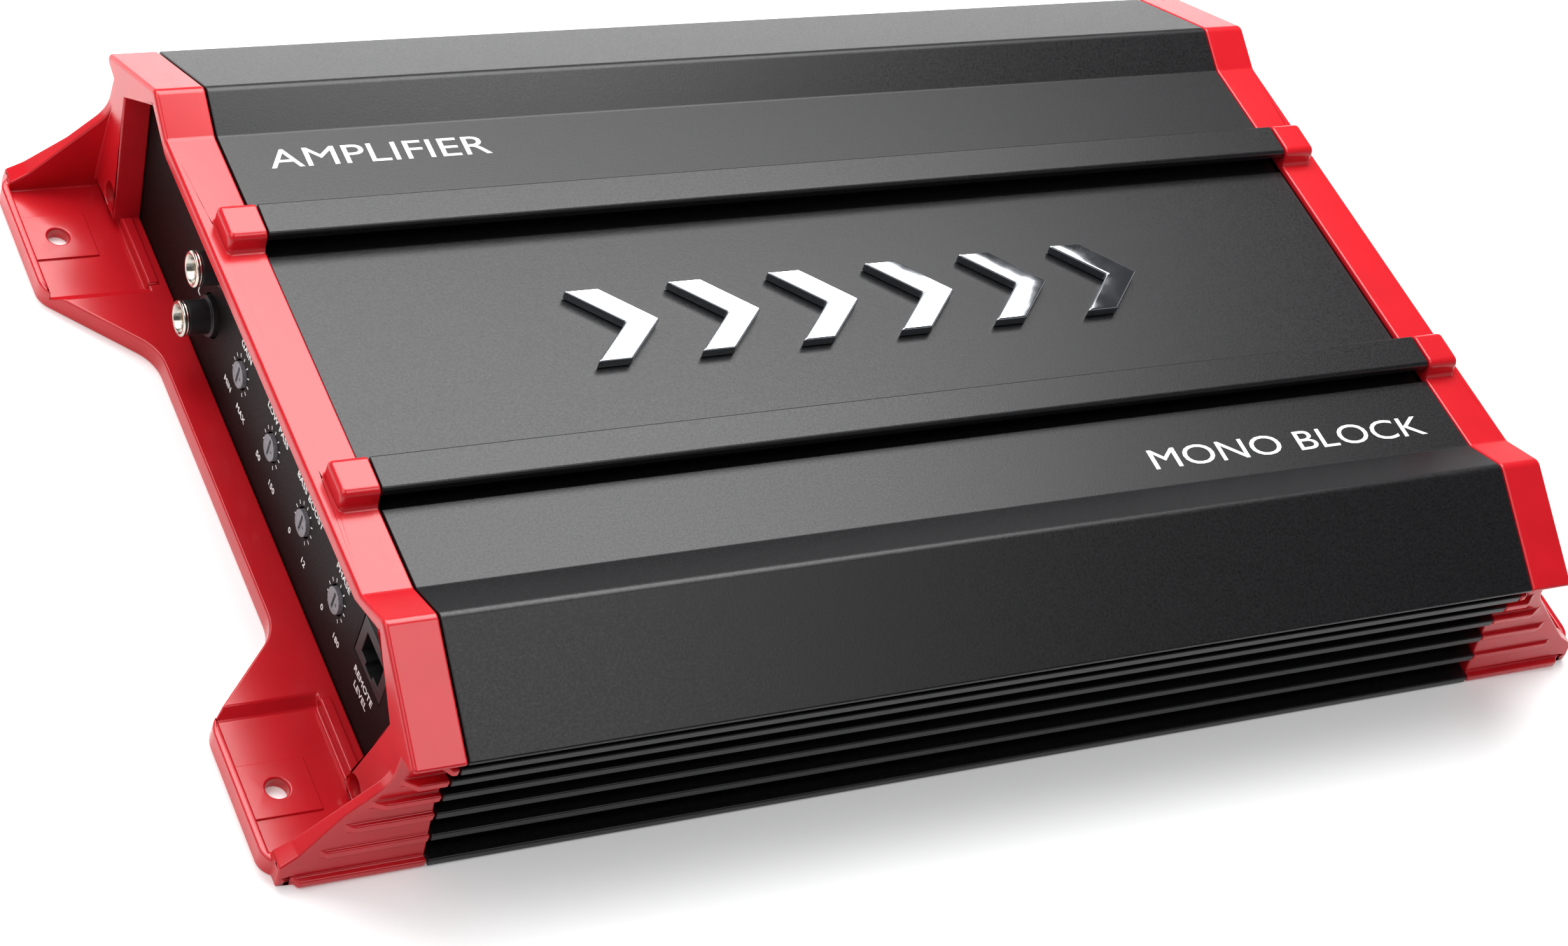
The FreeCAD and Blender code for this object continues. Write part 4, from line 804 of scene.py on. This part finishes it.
def make_finishes():
    """Every finish of the amplifier, by its own name."""
    colours = bpy.context.scene.amplifier_colours
    chrome, panel, ink = tuple(colours.chrome), tuple(colours.panel), tuple(colours.ink)
    made = {
        "coat": powder_coat(),
        "red": red_moulding(),
        "board": board_mask(),
        "sleeve": capacitor_sleeve(),
        "fuse": see_through("fuse_polycarbonate", "#1F9A4A", 0.12),
        "blue_lens": see_through("blue_light_lens", "#4F7BE0", 0.2),
        "red_lens": see_through("red_light_lens", "#D8433A", 0.2),
        # satin stoved paint on steel sheet: brown-black, with a fine orange peel
        "panel": grained("satin_painted_panel", shade_of(panel, 0.8), shade_of(panel, 1.25),
                         (0.46, 0.58), 0.8, 0.006, gloss=0.12),
        # thin epoxy ink: matt white, a little uneven where the screen's mesh was
        "ink": grained("screen_print_ink", shade_of(ink, 0.9), ink, (0.5, 0.65), 0.3, 0.004),
        # electroplate over polished ABS: a mirror with a very slight ripple
        "chrome": grained("chrome_plated_abs", shade_of(chrome, 0.94), chrome, (0.03, 0.07),
                          5.0, 0.006, metallic=1.0, detail=1.0),
    }
    for key, (name, dark, light, *grain) in PLAIN_FINISHES.items():
        made[key] = grained(name, linear(dark), linear(light), *grain)
    return made


# ---- operators: one for each piece or group of like pieces ----

class Finishing:
    """A step that rounds and paints CAD nodes as they are.

    Each job is (CAD node, piece, finish, slot, edge size, share of that size).
    """

    jobs = ()
    segments = 2

    def execute(self, context):
        sizes = context.scene.amplifier_sizes
        for node, piece, finish, slot, edge, share in self.jobs:
            finish_node(node, piece, finish, slot, share * getattr(sizes, edge),
                        self.segments, self.body_of(node))
        return {"FINISHED"}

    def body_of(self, node):
        """The body that a node rides on."""
        return CHASSIS


class AMP_OT_heatsink(Finishing, bpy.types.Operator):
    """Finned extrusion, its edges eased by the powder coat"""

    bl_idname = "amplifier.heatsink"
    bl_label = "Heatsink"
    jobs = (("heatsink", "finned_heatsink", "coat", "black_aluminium", "extrusion_edge", 1),)


class AMP_OT_bottom_cover(Finishing, bpy.types.Operator):
    """Steel sheet that closes the extrusion from below"""

    bl_idname = "amplifier.bottom_cover"
    bl_label = "Bottom cover"
    jobs = (("bottom_cover", "steel_bottom_cover", "e_coat", "black_steel", "sheet_edge", 1),)


class AMP_OT_end_caps(Finishing, bpy.types.Operator):
    """Moulded end caps with feet, ribs and softened edges"""

    bl_idname = "amplifier.end_caps"
    bl_label = "End caps"
    segments = 3
    jobs = tuple((side + "_end_cap", side + "_moulded_cap", "red", "red_plastic",
                  "moulding_edge", 1) for side in ("left", "right"))


class AMP_OT_end_panels(Finishing, bpy.types.Operator):
    """Painted panels behind the end caps"""

    bl_idname = "amplifier.end_panels"
    bl_label = "End panels"
    jobs = tuple((side + "_end_panel", side + "_painted_panel", "panel", "black_panel",
                  "sheet_edge", 1) for side in ("left", "right"))


def screw_model(low, high, across, pitch):
    """A pan-head screw on +Z: cross recess, domed head, thread as close rings."""
    total = high - low
    head = 1.6 * MM
    radius = across / 2
    core = 1.3 * MM
    profile = [(0, total), (radius * 0.45, total), (radius * 0.8, total - head * 0.18),
               (radius * 0.97, total - head * 0.5), (radius, total - head * 0.8),
               (radius * 0.97, total - head), (core, total - head)]
    height = total - head - pitch
    while height > pitch * 1.5:
        profile += [(core, height), (core * 0.86, height - pitch / 2)]
        height -= pitch
    profile += [(core * 0.8, pitch), (core * 0.5, 0), (0, 0)]
    solid = working_object("screw_model", turned(profile, 20))
    recess_length = radius * 1.12
    recess_width = radius * 0.28
    recess_depth = head * 0.62
    tools = []
    for size in ((recess_width, recess_length), (recess_length, recess_width)):
        arm = slab(*size, head)
        arm.transform(Matrix.Translation((0, 0, total - recess_depth)))
        cutter = solid.modifiers.new("Recess", "BOOLEAN")
        cutter.object = working_object("recess", arm)
        cutter.operation = "DIFFERENCE"
        cutter.solver = "EXACT"
        tools.append(cutter.object)
    mesh = evaluated(solid)
    for tool in tools:
        bpy.data.objects.remove(tool)
    return rounded(mesh, 0.06 * MM, segments=1, angle=40)


class AMP_OT_fasteners(bpy.types.Operator):
    """Every group of pan-head screws, each screw turned by chance"""

    bl_idname = "amplifier.fasteners"
    bl_label = "Fasteners"

    def execute(self, context):
        for node, piece, finish, slot, axis in (
                ("cover_screws", "cover_fasteners", "black_oxide", "black_screw", 2),
                ("board_screws", "board_fasteners", "nickel", "nickel", 2),
                ("cap_screws", "cap_fasteners", "nickel", "nickel", 0),
                ("clamp_screws", "clamp_fasteners", "nickel", "nickel", 1)):
            boxes = solids_of(node)
            spots, ways = [], []
            for low, high in boxes:
                inward = self.inward(node, axis, low, high)
                way = Vector((0, 0, 0))
                way[axis] = -inward
                spot = (low + high) / 2
                spot[axis] = high[axis] if inward > 0 else low[axis]
                spots.append(spot)
                ways.append(way)
            low, high = boxes[0]
            across = (high - low)[(axis + 1) % 3]
            model = screw_model(low[axis], high[axis], across,
                                context.scene.amplifier_sizes.thread_pitch)
            keep(piece, on_points(model, spots, ways, 2 * math.pi, finish), None,
                 CHASSIS, slot, node)
        return {"FINISHED"}

    def inward(self, node, axis, low, high):
        """Which way along the axis the screw is driven."""
        if node == "cover_screws":
            return 1
        if node == "board_screws":
            return -1
        outward = 1 if (low + high)[axis] > 0 else -1
        return -outward if node == "cap_screws" else outward


class AMP_OT_jacks(bpy.types.Operator):
    """Signal jacks: nickel shells round black insulators and gilt sockets"""

    bl_idname = "amplifier.jacks"
    bl_label = "Signal jacks"

    def execute(self, context):
        sizes = context.scene.amplifier_sizes
        finish_node("jack_housing", "jack_block", "nylon", "black_plastic",
                    sizes.plastic_edge)
        rings = [self.ring(low, high) for low, high in solids_of("jack_shells")]
        keep("jack_rings", join(rings), "nickel", CHASSIS, "nickel", "jack_shells")
        finish_node("jack_insulators", "jack_cores", "nylon", "white_plastic",
                    sizes.metal_edge)
        finish_node("jack_contacts", "jack_sockets", "gold", "brass",
                    sizes.metal_edge)
        return {"FINISHED"}

    def ring(self, low, high):
        """A shell with a rolled, grooved lip, open towards -X."""
        radius = (high.y - low.y) / 2
        deep = high.x - low.x
        lip = 1.5 * MM
        wall = radius - 0.7 * MM
        bore = radius - 1.1 * MM
        ease = 0.25 * MM
        groove = 0.18 * MM
        mouth = 0.3 * MM
        inner = 0.2 * MM
        shell = turned([(bore, deep), (wall, deep), (wall, lip), (radius - ease, lip),
                        (radius, lip - ease), (radius, lip * 0.62),
                        (radius - groove, lip * 0.5), (radius, lip * 0.38), (radius, mouth),
                        (radius - mouth, 0), (bore + inner, 0), (bore, inner), (bore, deep)],
                       sides=48)
        return along_x(shell, low, high)


class AMP_OT_trimmers(Finishing, bpy.types.Operator):
    """Turning faces of the four trimmers and their bodies behind the panel"""

    bl_idname = "amplifier.trimmers"
    bl_label = "Trimmers"
    jobs = (*[(knob, knob + "_face", "acetal", "grey_plastic", "metal_edge", 1)
              for knob in KNOBS],
            ("trimmer_bodies", "trimmer_cases", "nylon", "black_plastic", "plastic_edge", 1))

    def body_of(self, node):
        return node if node in KNOBS else CHASSIS


class AMP_OT_remote_socket(Finishing, bpy.types.Operator):
    """Modular socket of the wired level control"""

    bl_idname = "amplifier.remote_socket"
    bl_label = "Remote socket"
    jobs = (("remote_socket", "modular_socket", "nylon", "black_plastic", "plastic_edge", 1),
            ("socket_contacts", "socket_springs", "gold", "brass", "metal_edge", 0.5))


class AMP_OT_terminals(bpy.types.Operator):
    """Power and speaker terminals with their clamps and clamp screws"""

    bl_idname = "amplifier.terminals"
    bl_label = "Terminals"

    def execute(self, context):
        sizes = context.scene.amplifier_sizes
        for row, ways in (("power", POWER_WAYS), ("speaker", SPEAKER_WAYS)):
            name = row + "_terminal_"
            finish_node(name + "block", row + "_terminal_moulding", "nylon",
                        "black_plastic", sizes.plastic_edge)
            finish_node(name + "clamps", row + "_cable_clamps", "nickel", "nickel",
                        sizes.metal_edge)
            for way in ways:
                finish_node(name + way + "_screw", "%s_%s_set_screw" % (row, way),
                            "nickel", "nickel", sizes.metal_edge,
                            body="%s_%s_screw" % (row, way))
        return {"FINISHED"}


class AMP_OT_fuses(bpy.types.Operator):
    """Blade fuses with their rating on the face, in their holder"""

    bl_idname = "amplifier.fuses"
    bl_label = "Fuses"

    def execute(self, context):
        sizes = context.scene.amplifier_sizes
        capital = 2.6 * MM
        upright = Matrix.Rotation(QUARTER_TURN, 4, "Z")
        centred = Matrix.Translation((0, -capital / 2, 0))
        for fuse in FUSES:
            finish_node(fuse + "_body", fuse + "_moulding", "fuse", "fuse_plastic",
                        sizes.plastic_edge, body=fuse)
            finish_node(fuse + "_blades", fuse + "_strips", "tin", "tin_plate",
                        sizes.metal_edge / 2, body=fuse)
            low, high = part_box(fuse + "_body")
            centre = (low + high) / 2
            rating = lettering("30", capital, sizes.ink,
                               facing_right(centre.y, centre.z, high.x) @ upright @ centred)
            keep(fuse + "_rating", rating, "ink", fuse, "white_plastic")
        finish_node("fuse_holder", "fuse_holder_moulding", "nylon", "black_plastic",
                    sizes.plastic_edge)
        finish_node("fuse_contacts", "fuse_springs", "tin", "brass",
                    sizes.metal_edge / 2)
        return {"FINISHED"}


class AMP_OT_lights(bpy.types.Operator):
    """Power and protection lights in the right panel"""

    bl_idname = "amplifier.lights"
    bl_label = "Status lights"

    def execute(self, context):
        radius = 1.5 * MM
        flange = 2.0 * MM
        flange_top = 1.4 * MM
        steps = 6
        kinds = (("protect_lens", "red_lens"), ("power_lens", "blue_lens"))
        for (low, high), (name, finish) in zip(solids_of("status_lights"), kinds):
            deep = high.x - low.x
            dome = [(0, deep)]
            for step in range(1, steps + 1):
                angle = QUARTER_TURN * step / steps
                dome.append((radius * math.sin(angle), deep - radius * (1 - math.cos(angle))))
            dome += [(radius, flange_top), (flange, flange_top), (flange, 0), (0, 0)]
            lens = along_x(turned(dome), low, high)
            keep(name, lens, finish, CHASSIS, "clear_lens")
        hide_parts("status_lights")
        return {"FINISHED"}


class AMP_OT_boards(bpy.types.Operator):
    """Circuit boards, their connector and the small parts soldered to them"""

    bl_idname = "amplifier.boards"
    bl_label = "Circuit boards"

    # kind, (length, width, height) in millimetres, share of places filled, finish
    KINDS = (("resistors", (2.0, 1.25, 0.6), 0.55, "epoxy"),
             ("ceramics", (2.0, 1.25, 1.2), 0.25, "ceramic"),
             ("packages", (5.0, 4.0, 1.6), 0.6, "epoxy"))

    def execute(self, context):
        sizes = context.scene.amplifier_sizes
        for node, piece in (("main_board", "main_circuit_board"),
                            ("control_board", "control_circuit_board")):
            finish_node(node, piece, "board", "green_board", sizes.metal_edge)
        finish_node("board_connector", "board_header", "white_nylon", "white_plastic",
                    sizes.plastic_edge)
        low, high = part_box("main_board")
        edge = 16 * MM
        margin = 4 * MM
        rows = high.y - low.y - 2 * edge
        connector_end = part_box("board_connector")[1].x
        coil_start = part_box("power_transformer_1_winding")[0].x
        can_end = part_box("filter_capacitors")[1].x
        areas = (("input_side", connector_end + 3 * MM, coil_start - margin),
                 ("output_side", can_end + 6 * MM, high.x - edge))
        tree = chip_grid_tree()
        for area, start, end in areas:
            for index, (kind, size, filled, finish) in enumerate(self.KINDS):
                large = kind == "packages"
                model = working_object("chip_model", self.chip(*[s * MM for s in size]))
                mesh = run_tree(tree, {"Part": model, "Length": end - start - margin,
                                       "Width": rows / 2 - sizes.chip_spacing * 2,
                                       "Spacing": sizes.chip_spacing * (3 if large else 1),
                                       "Filled": filled, "Seed": sizes.seed + 10 * index,
                                       "Finish": FINISHES[finish]})
                bpy.data.objects.remove(model)
                # large parts stand on the front half, small ones on the rear half
                side = -1 if large else 1
                mesh.transform(Matrix.Translation(((start + end) / 2, side * rows / 4, high.z)))
                if kind == "ceramics":
                    # half a step aside, so that they stand between the resistors
                    aside = sizes.chip_spacing / 2
                    mesh.transform(Matrix.Translation((aside, aside, 0)))
                keep("%s_%s" % (area, kind), mesh, None, CHASSIS, "green_board")
        return {"FINISHED"}

    def chip(self, size_x, size_y, size_z):
        """A small moulded block that stands on z = 0."""
        return rounded(slab(size_x, size_y, size_z), 0.12 * MM, segments=1)


class AMP_OT_transistors(Finishing, bpy.types.Operator):
    """Transistors, leads, insulating pads and clamp bars on the side walls"""

    bl_idname = "amplifier.transistors"
    bl_label = "Transistors"
    jobs = (("transistors", "transistor_packages", "epoxy", "black_plastic", "plastic_edge", 1),
            ("transistor_leads", "tinned_leads", "tin", "nickel", "metal_edge", 1),
            ("insulating_pads", "silicone_pads", "silicone", "grey_pad", "metal_edge", 0.5),
            ("clamp_bars", "spring_bars", "zinc", "black_steel", "plastic_edge", 1))


class AMP_OT_wound_parts(bpy.types.Operator):
    """Ring cores with their windings of enamelled wire"""

    bl_idname = "amplifier.wound_parts"
    bl_label = "Wound parts"

    def execute(self, context):
        sizes = context.scene.amplifier_sizes
        bore = 9.0 * MM
        fewer_on_choke = 12
        tree = winding_tree()
        for name, turns in (("power_transformer_1", sizes.winding_turns),
                            ("power_transformer_2", sizes.winding_turns),
                            ("output_choke", sizes.winding_turns - fewer_on_choke)):
            finish_node(name + "_core", name + "_ferrite", "ferrite", "ferrite",
                        3 * sizes.plastic_edge, segments=3)
            low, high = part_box(name + "_winding")
            mesh = run_tree(tree, {"Outer radius": (high.x - low.x) / 2, "Bore radius": bore,
                                   "Height": high.z - low.z, "Turns": turns,
                                   "Wire radius": sizes.wire / 2,
                                   "Finish": FINISHES["copper"]})
            mesh.transform(Matrix.Translation((low + high) / 2))
            for face in mesh.polygons:
                face.use_smooth = True
            keep(name + "_wire", mesh, None, CHASSIS, "copper", name + "_winding")
        return {"FINISHED"}


class AMP_OT_capacitors(bpy.types.Operator):
    """Filter capacitors: sleeved cans with a crimp and a ribbed lid"""

    bl_idname = "amplifier.capacitors"
    bl_label = "Filter capacitors"

    def execute(self, context):
        boxes = solids_of("filter_capacitors")
        low, high = boxes[0]
        radius = (high.x - low.x) / 2
        tall = high.z - low.z
        neck = radius * 0.93
        rim = radius * 0.9
        lid_radius = radius * 0.8
        sunk = tall - 0.4 * MM
        lid_top = tall - 0.25 * MM
        lid_base = tall - 0.5 * MM
        sides = 40
        sleeve = turned([(0, 0), (rim, 0), (radius, 0.8 * MM), (radius, 2.4 * MM),
                         (neck, 3.2 * MM), (radius, 4.0 * MM), (radius, tall - MM),
                         (radius * 0.97, lid_top), (rim, tall), (radius * 0.82, tall),
                         (lid_radius, sunk), (0, sunk)], sides)
        lid = [turned([(0, lid_base), (lid_radius, lid_base), (lid_radius, lid_top),
                       (0, lid_top)], sides)]
        rib = 0.35 * MM
        for turn in (0, 1, 2):
            bar = slab(lid_radius * 1.4, rib, rib)
            bar.transform(Matrix.Translation((0, 0, sunk))
                          @ Matrix.Rotation(math.pi * turn / 3, 4, "Z"))
            lid.append(bar)
        spots = [Vector(((a.x + b.x) / 2, (a.y + b.y) / 2, a.z)) for a, b in boxes]
        ways = [Vector((0, 0, 1))] * len(spots)
        largest_turn = 0.6
        keep("capacitor_sleeves",
             on_points(sleeve, spots, ways, largest_turn, "sleeve"), None, CHASSIS,
             "black_sleeve", "filter_capacitors")
        keep("capacitor_lids",
             on_points(join(lid), spots, ways, largest_turn, "aluminium"), None,
             CHASSIS, "nickel")
        return {"FINISHED"}


class AMP_OT_emblem(bpy.types.Operator):
    """Row of raised chromed chevrons on the middle deck"""

    bl_idname = "amplifier.emblem"
    bl_label = "Emblem"

    def execute(self, context):
        boxes = solids_of("emblem")
        low, high = boxes[0]
        tip, side = (high.x - low.x) / 2, (high.y - low.y) / 2
        arm = (high.x - low.x) * 0.43
        chevron = plate([(-tip, -side), (arm - tip, -side), (tip, 0), (arm - tip, side),
                         (-tip, side), (tip - arm, 0)], high.z - low.z)
        edge = context.scene.amplifier_sizes.emblem_edge
        model = working_object("chevron_model", rounded(chevron, edge, segments=3))
        mesh = run_tree(row_tree(), {"Part": model, "Count": len(boxes),
                                     "Pitch": boxes[1][0].x - low.x,
                                     "Finish": FINISHES["chrome"]})
        bpy.data.objects.remove(model)
        mesh.transform(Matrix.Translation(((low.x + high.x) / 2, (low.y + high.y) / 2, low.z)))
        keep("chrome_chevrons", mesh, None, CHASSIS, "chrome", "emblem")
        return {"FINISHED"}


class AMP_OT_deck_prints(bpy.types.Operator):
    """Plain words screen printed on the front and rear decks"""

    bl_idname = "amplifier.deck_prints"
    bl_label = "Deck prints"

    def execute(self, context):
        sizes = context.scene.amplifier_sizes
        words = context.scene.amplifier_words
        low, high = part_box("heatsink")
        margin = 9.5 * MM
        middle = 59.0 * MM
        widened = 1.42
        prints = []
        for text, x, y, align in ((words.rear, low.x + margin, middle, "LEFT"),
                                  (words.front, high.x - margin, -middle, "RIGHT")):
            deck = surface_below("heatsink", x, y)
            spot = Matrix.Translation((x, y - sizes.deck_letters / 2, deck + sizes.ink / 2))
            prints.append(lettering(text, sizes.deck_letters, sizes.ink, spot, widened,
                                    align=align))
        keep("deck_lettering", join(prints), "ink", CHASSIS, "white_plastic")
        return {"FINISHED"}


class AMP_OT_panel_prints(bpy.types.Operator):
    """Names and scales printed on the two end panels"""

    bl_idname = "amplifier.panel_prints"
    bl_label = "Panel prints"

    KNOB_WORDS = (("GAIN", "MIN", "MAX"), ("LOW PASS", "50", "150"), ("BASS BOOST", "0", "12"),
                  ("PHASE", "0", "180"))

    def execute(self, context):
        sizes = context.scene.amplifier_sizes
        ink = sizes.ink
        widened = 1.15
        bolder = 0.05 * MM
        left_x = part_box("left_end_panel")[0].x - ink / 2
        right_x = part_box("right_end_panel")[1].x + ink / 2

        def word(text, plane, y, z, x, scale):
            return lettering(text, sizes.panel_letters * scale, ink, plane(y, z, x), widened,
                             bolder)

        def left(text, y, z, scale=1.0):
            return word(text, facing_left, y, z, left_x, scale)

        def right(text, y, z, scale=1.0):
            return word(text, facing_right, y, z, right_x, scale)

        ticks = self.ticks(ink, left_x)
        for side, prints in (("left", self.left(left, ticks)), ("right", self.right(right))):
            keep(side + "_panel_lettering", join(prints), "ink", CHASSIS,
                 "white_plastic")
        return {"FINISHED"}

    def ticks(self, ink, x):
        """The scale of each trimmer."""
        tree = dial_marks_tree()
        made = {}
        for knob in KNOBS:
            _, y, z = middle_of(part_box(knob))
            marks = run_tree(tree, {"Radius": 4.6 * MM, "Sweep": math.radians(280), "Count": 11,
                                    "Tick length": 0.9 * MM, "Tick width": 0.3 * MM,
                                    "Ink": ink, "Finish": FINISHES["ink"]})
            marks.transform(facing_left(y, z, x))
            made[knob] = marks
        return made

    def left(self, word, ticks):
        """Trimmer names and scales, jack sides, and the level socket's name."""
        title_rise = 6.6 * MM
        end_drop = 8.6 * MM
        end_shift = 4.6 * MM
        prints = []
        for knob, (title, least, most) in zip(KNOBS, self.KNOB_WORDS):
            _, y, z = middle_of(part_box(knob))
            prints += [word(title, y, z + title_rise),
                       word(least, y + end_shift, z - end_drop, 0.9),
                       word(most, y - end_shift, z - end_drop, 0.9), ticks[knob]]
        for box, side in zip(solids_of("jack_shells"), ("L", "R")):
            _, y, z = middle_of(box)
            prints.append(word(side, y + 8.2 * MM, z - 1.0 * MM, 1.3))
        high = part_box("jack_housing")[1]
        prints.append(word("INPUT", high.y + 12 * MM, high.z - 9 * MM, 1.3))
        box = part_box("remote_socket")
        for text, drop in (("REMOTE", 4.0 * MM), ("LEVEL", 7.2 * MM)):
            prints.append(word(text, middle_of(box)[1], box[0].z - drop))
        return prints

    def right(self, word):
        """Terminal names, and the names of the fuses and lights."""
        prints = []
        for row, ways, names in (("power", POWER_WAYS, ("GND", "REM", "+12V")),
                                 ("speaker", SPEAKER_WAYS, ("-", "+"))):
            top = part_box(row + "_terminal_block")[1].z
            for way, text in zip(ways, names):
                y = middle_of(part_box("%s_terminal_%s_screw" % (row, way)))[1]
                prints.append(word(text, y, top + 1.6 * MM, 1.2))
        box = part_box("fuse_holder")
        prints.append(word("FUSES", middle_of(box)[1], box[1].z + 1.4 * MM))
        for box, text in zip(solids_of("status_lights"), ("PROTECT", "POWER")):
            prints.append(word(text, middle_of(box)[1], box[0].z - 3.0 * MM))
        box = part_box("speaker_terminal_block")
        prints.append(word("SPEAKER", middle_of(box)[1], box[1].z + 5.0 * MM, 1.1))
        return prints


# ---- studio ----

def soft_box(name, centre, aim, turn, width, height, brightness):
    """A soft box that faces aim; brightness is what its face looks like in a mirror."""
    light = bpy.data.lights.new(name, "AREA")
    light.shape = "RECTANGLE"
    light.size = width
    light.size_y = height
    light.energy = brightness * math.pi * width * height
    thing = working_object(name, light)
    facing = (Vector(centre) - Vector(aim)).to_track_quat("Z", "Y").to_matrix().to_4x4()
    thing.matrix_world = Matrix.Translation(centre) @ facing @ Matrix.Rotation(turn, 4, "Z")


def studio_room(sky):
    """A room that is bright round the horizon and dark overhead."""
    world = bpy.data.worlds.new("Studio room")
    world.use_nodes = True
    tree = world.node_tree
    tree.nodes.clear()
    ray = add(tree, "ShaderNodeTexCoord").outputs["Generated"]
    height = add(tree, "ShaderNodeSeparateXYZ", {"Vector": ray}).outputs["Z"]
    strength = reckon(tree, "MULTIPLY", ranged(tree, height, 0.05, 0.55, 1.0, 0.1), sky)
    glow = add(tree, "ShaderNodeBackground", {"Color": linear("#FAFBFF"), "Strength": strength})
    add(tree, "ShaderNodeOutputWorld", {"Surface": glow.outputs[0]})
    bpy.context.scene.world = world


class AMP_OT_stage(bpy.types.Operator):
    """Pale floor, soft boxes and camera"""

    bl_idname = "amplifier.stage"
    bl_label = "Stage"

    def execute(self, context):
        stage = context.scene.amplifier_stage
        self.floor(context.scene.amplifier_colours.floor)
        # name, centre, aim, turn in degrees, width, height and brightness
        for name, centre, aim, turn, width, height, bright in (
                ("Key soft box", (0.08, 0.55, 0.80), (0.08, 0.55, 0.0), -28.6, 1.0, 0.8,
                 stage.key),
                ("Fill soft box", (-0.95, 0.05, 1.25), (0, 0, 0), 0.0, 1.3, 1.3, stage.fill),
                ("Front soft box", (0.31, -0.46, 1.09), (-0.147, -0.092, 0.045), 0.0, 0.36, 0.36,
                 stage.front)):
            soft_box(name, centre, aim, math.radians(turn), width, height, bright)
        studio_room(stage.sky)
        self.camera(context.scene, stage)
        context.scene.view_settings.view_transform = "Standard"
        return {"FINISHED"}

    def floor(self, tint):
        """A wide floor whose rim curves up: a paper sweep with a little light behind it."""
        wide = 3.0
        rise = 0.6
        steps = 6
        light_behind = 0.2
        profile = [(0, 0), (wide, 0)]
        for step in range(1, steps + 1):
            angle = QUARTER_TURN * step / steps
            profile.append((wide + rise * math.sin(angle), rise * (1 - math.cos(angle))))
        build = revolved(profile, sides=96)
        bmesh.ops.reverse_faces(build, faces=build.faces)
        mesh = finished(build, "studio_floor")
        material = grained("white_paper_sweep", shade_of(tuple(tint), 0.99), tuple(tint),
                           (0.55, 0.65), 40.0, 0.0)
        shader = material.node_tree.nodes["Principled BSDF"]
        shader.inputs["Emission Color"].default_value = tuple(tint)
        shader.inputs["Emission Strength"].default_value = light_behind
        mesh.materials.append(material)
        working_object("studio_floor", mesh)

    def camera(self, scene, stage):
        data = bpy.data.cameras.new("Camera")
        data.lens = stage.lens
        data.sensor_width = 36.0
        data.clip_start = 0.01
        data.clip_end = 50.0
        heading = Vector((math.sin(stage.azimuth), math.cos(stage.azimuth), 0))
        forward = heading * math.cos(stage.elevation) - Vector((0, 0, math.sin(stage.elevation)))
        level = forward.cross(Vector((0, 0, 1))).normalized()
        upright = level.cross(forward)
        right = level * math.cos(stage.roll) + upright * math.sin(stage.roll)
        up = right.cross(forward)
        thing = working_object("Camera", data)
        turn = Matrix((right, up, -forward)).transposed()
        spot = Vector(stage.target) - forward * stage.distance
        thing.matrix_world = Matrix.Translation(spot) @ turn.to_4x4()
        scene.camera = thing


STEPS = (AMP_OT_heatsink, AMP_OT_bottom_cover, AMP_OT_end_caps, AMP_OT_end_panels,
         AMP_OT_fasteners, AMP_OT_jacks, AMP_OT_trimmers, AMP_OT_remote_socket,
         AMP_OT_terminals, AMP_OT_fuses, AMP_OT_lights, AMP_OT_boards, AMP_OT_transistors,
         AMP_OT_wound_parts, AMP_OT_capacitors, AMP_OT_emblem, AMP_OT_deck_prints,
         AMP_OT_panel_prints, AMP_OT_stage)


GROUPS = (("amplifier_sizes", AmplifierSizes), ("amplifier_colours", AmplifierColours),
          ("amplifier_words", AmplifierWords), ("amplifier_stage", AmplifierStage))


class AMP_PT_sidebar(bpy.types.Panel):
    """Settings and steps of the amplifier"""

    bl_idname = "AMP_PT_sidebar"
    bl_label = "Amplifier"
    bl_space_type = "VIEW_3D"
    bl_region_type = "UI"
    bl_category = "Amplifier"

    def draw(self, context):
        for group, _ in GROUPS:
            settings = getattr(context.scene, group)
            box = self.layout.box()
            for name in settings.bl_rna.properties.keys():
                if name not in ("rna_type", "name"):
                    box.prop(settings, name)
        for step in STEPS:
            self.layout.operator(step.bl_idname)


def register():
    for name, group in GROUPS:
        bpy.utils.register_class(group)
        setattr(bpy.types.Scene, name, PointerProperty(type=group))
    for item in (*STEPS, AMP_PT_sidebar):
        bpy.utils.register_class(item)


def unregister():
    for item in (AMP_PT_sidebar, *reversed(STEPS)):
        bpy.utils.unregister_class(item)
    for name, group in reversed(GROUPS):
        delattr(bpy.types.Scene, name)
        bpy.utils.unregister_class(group)


def main():
    """Make every piece and the stage."""
    register()
    FINISHES.update(make_finishes())
    for step in STEPS:
        family, action = step.bl_idname.split(".")
        getattr(getattr(bpy.ops, family), action)()


if __name__ == "__main__":
    main()
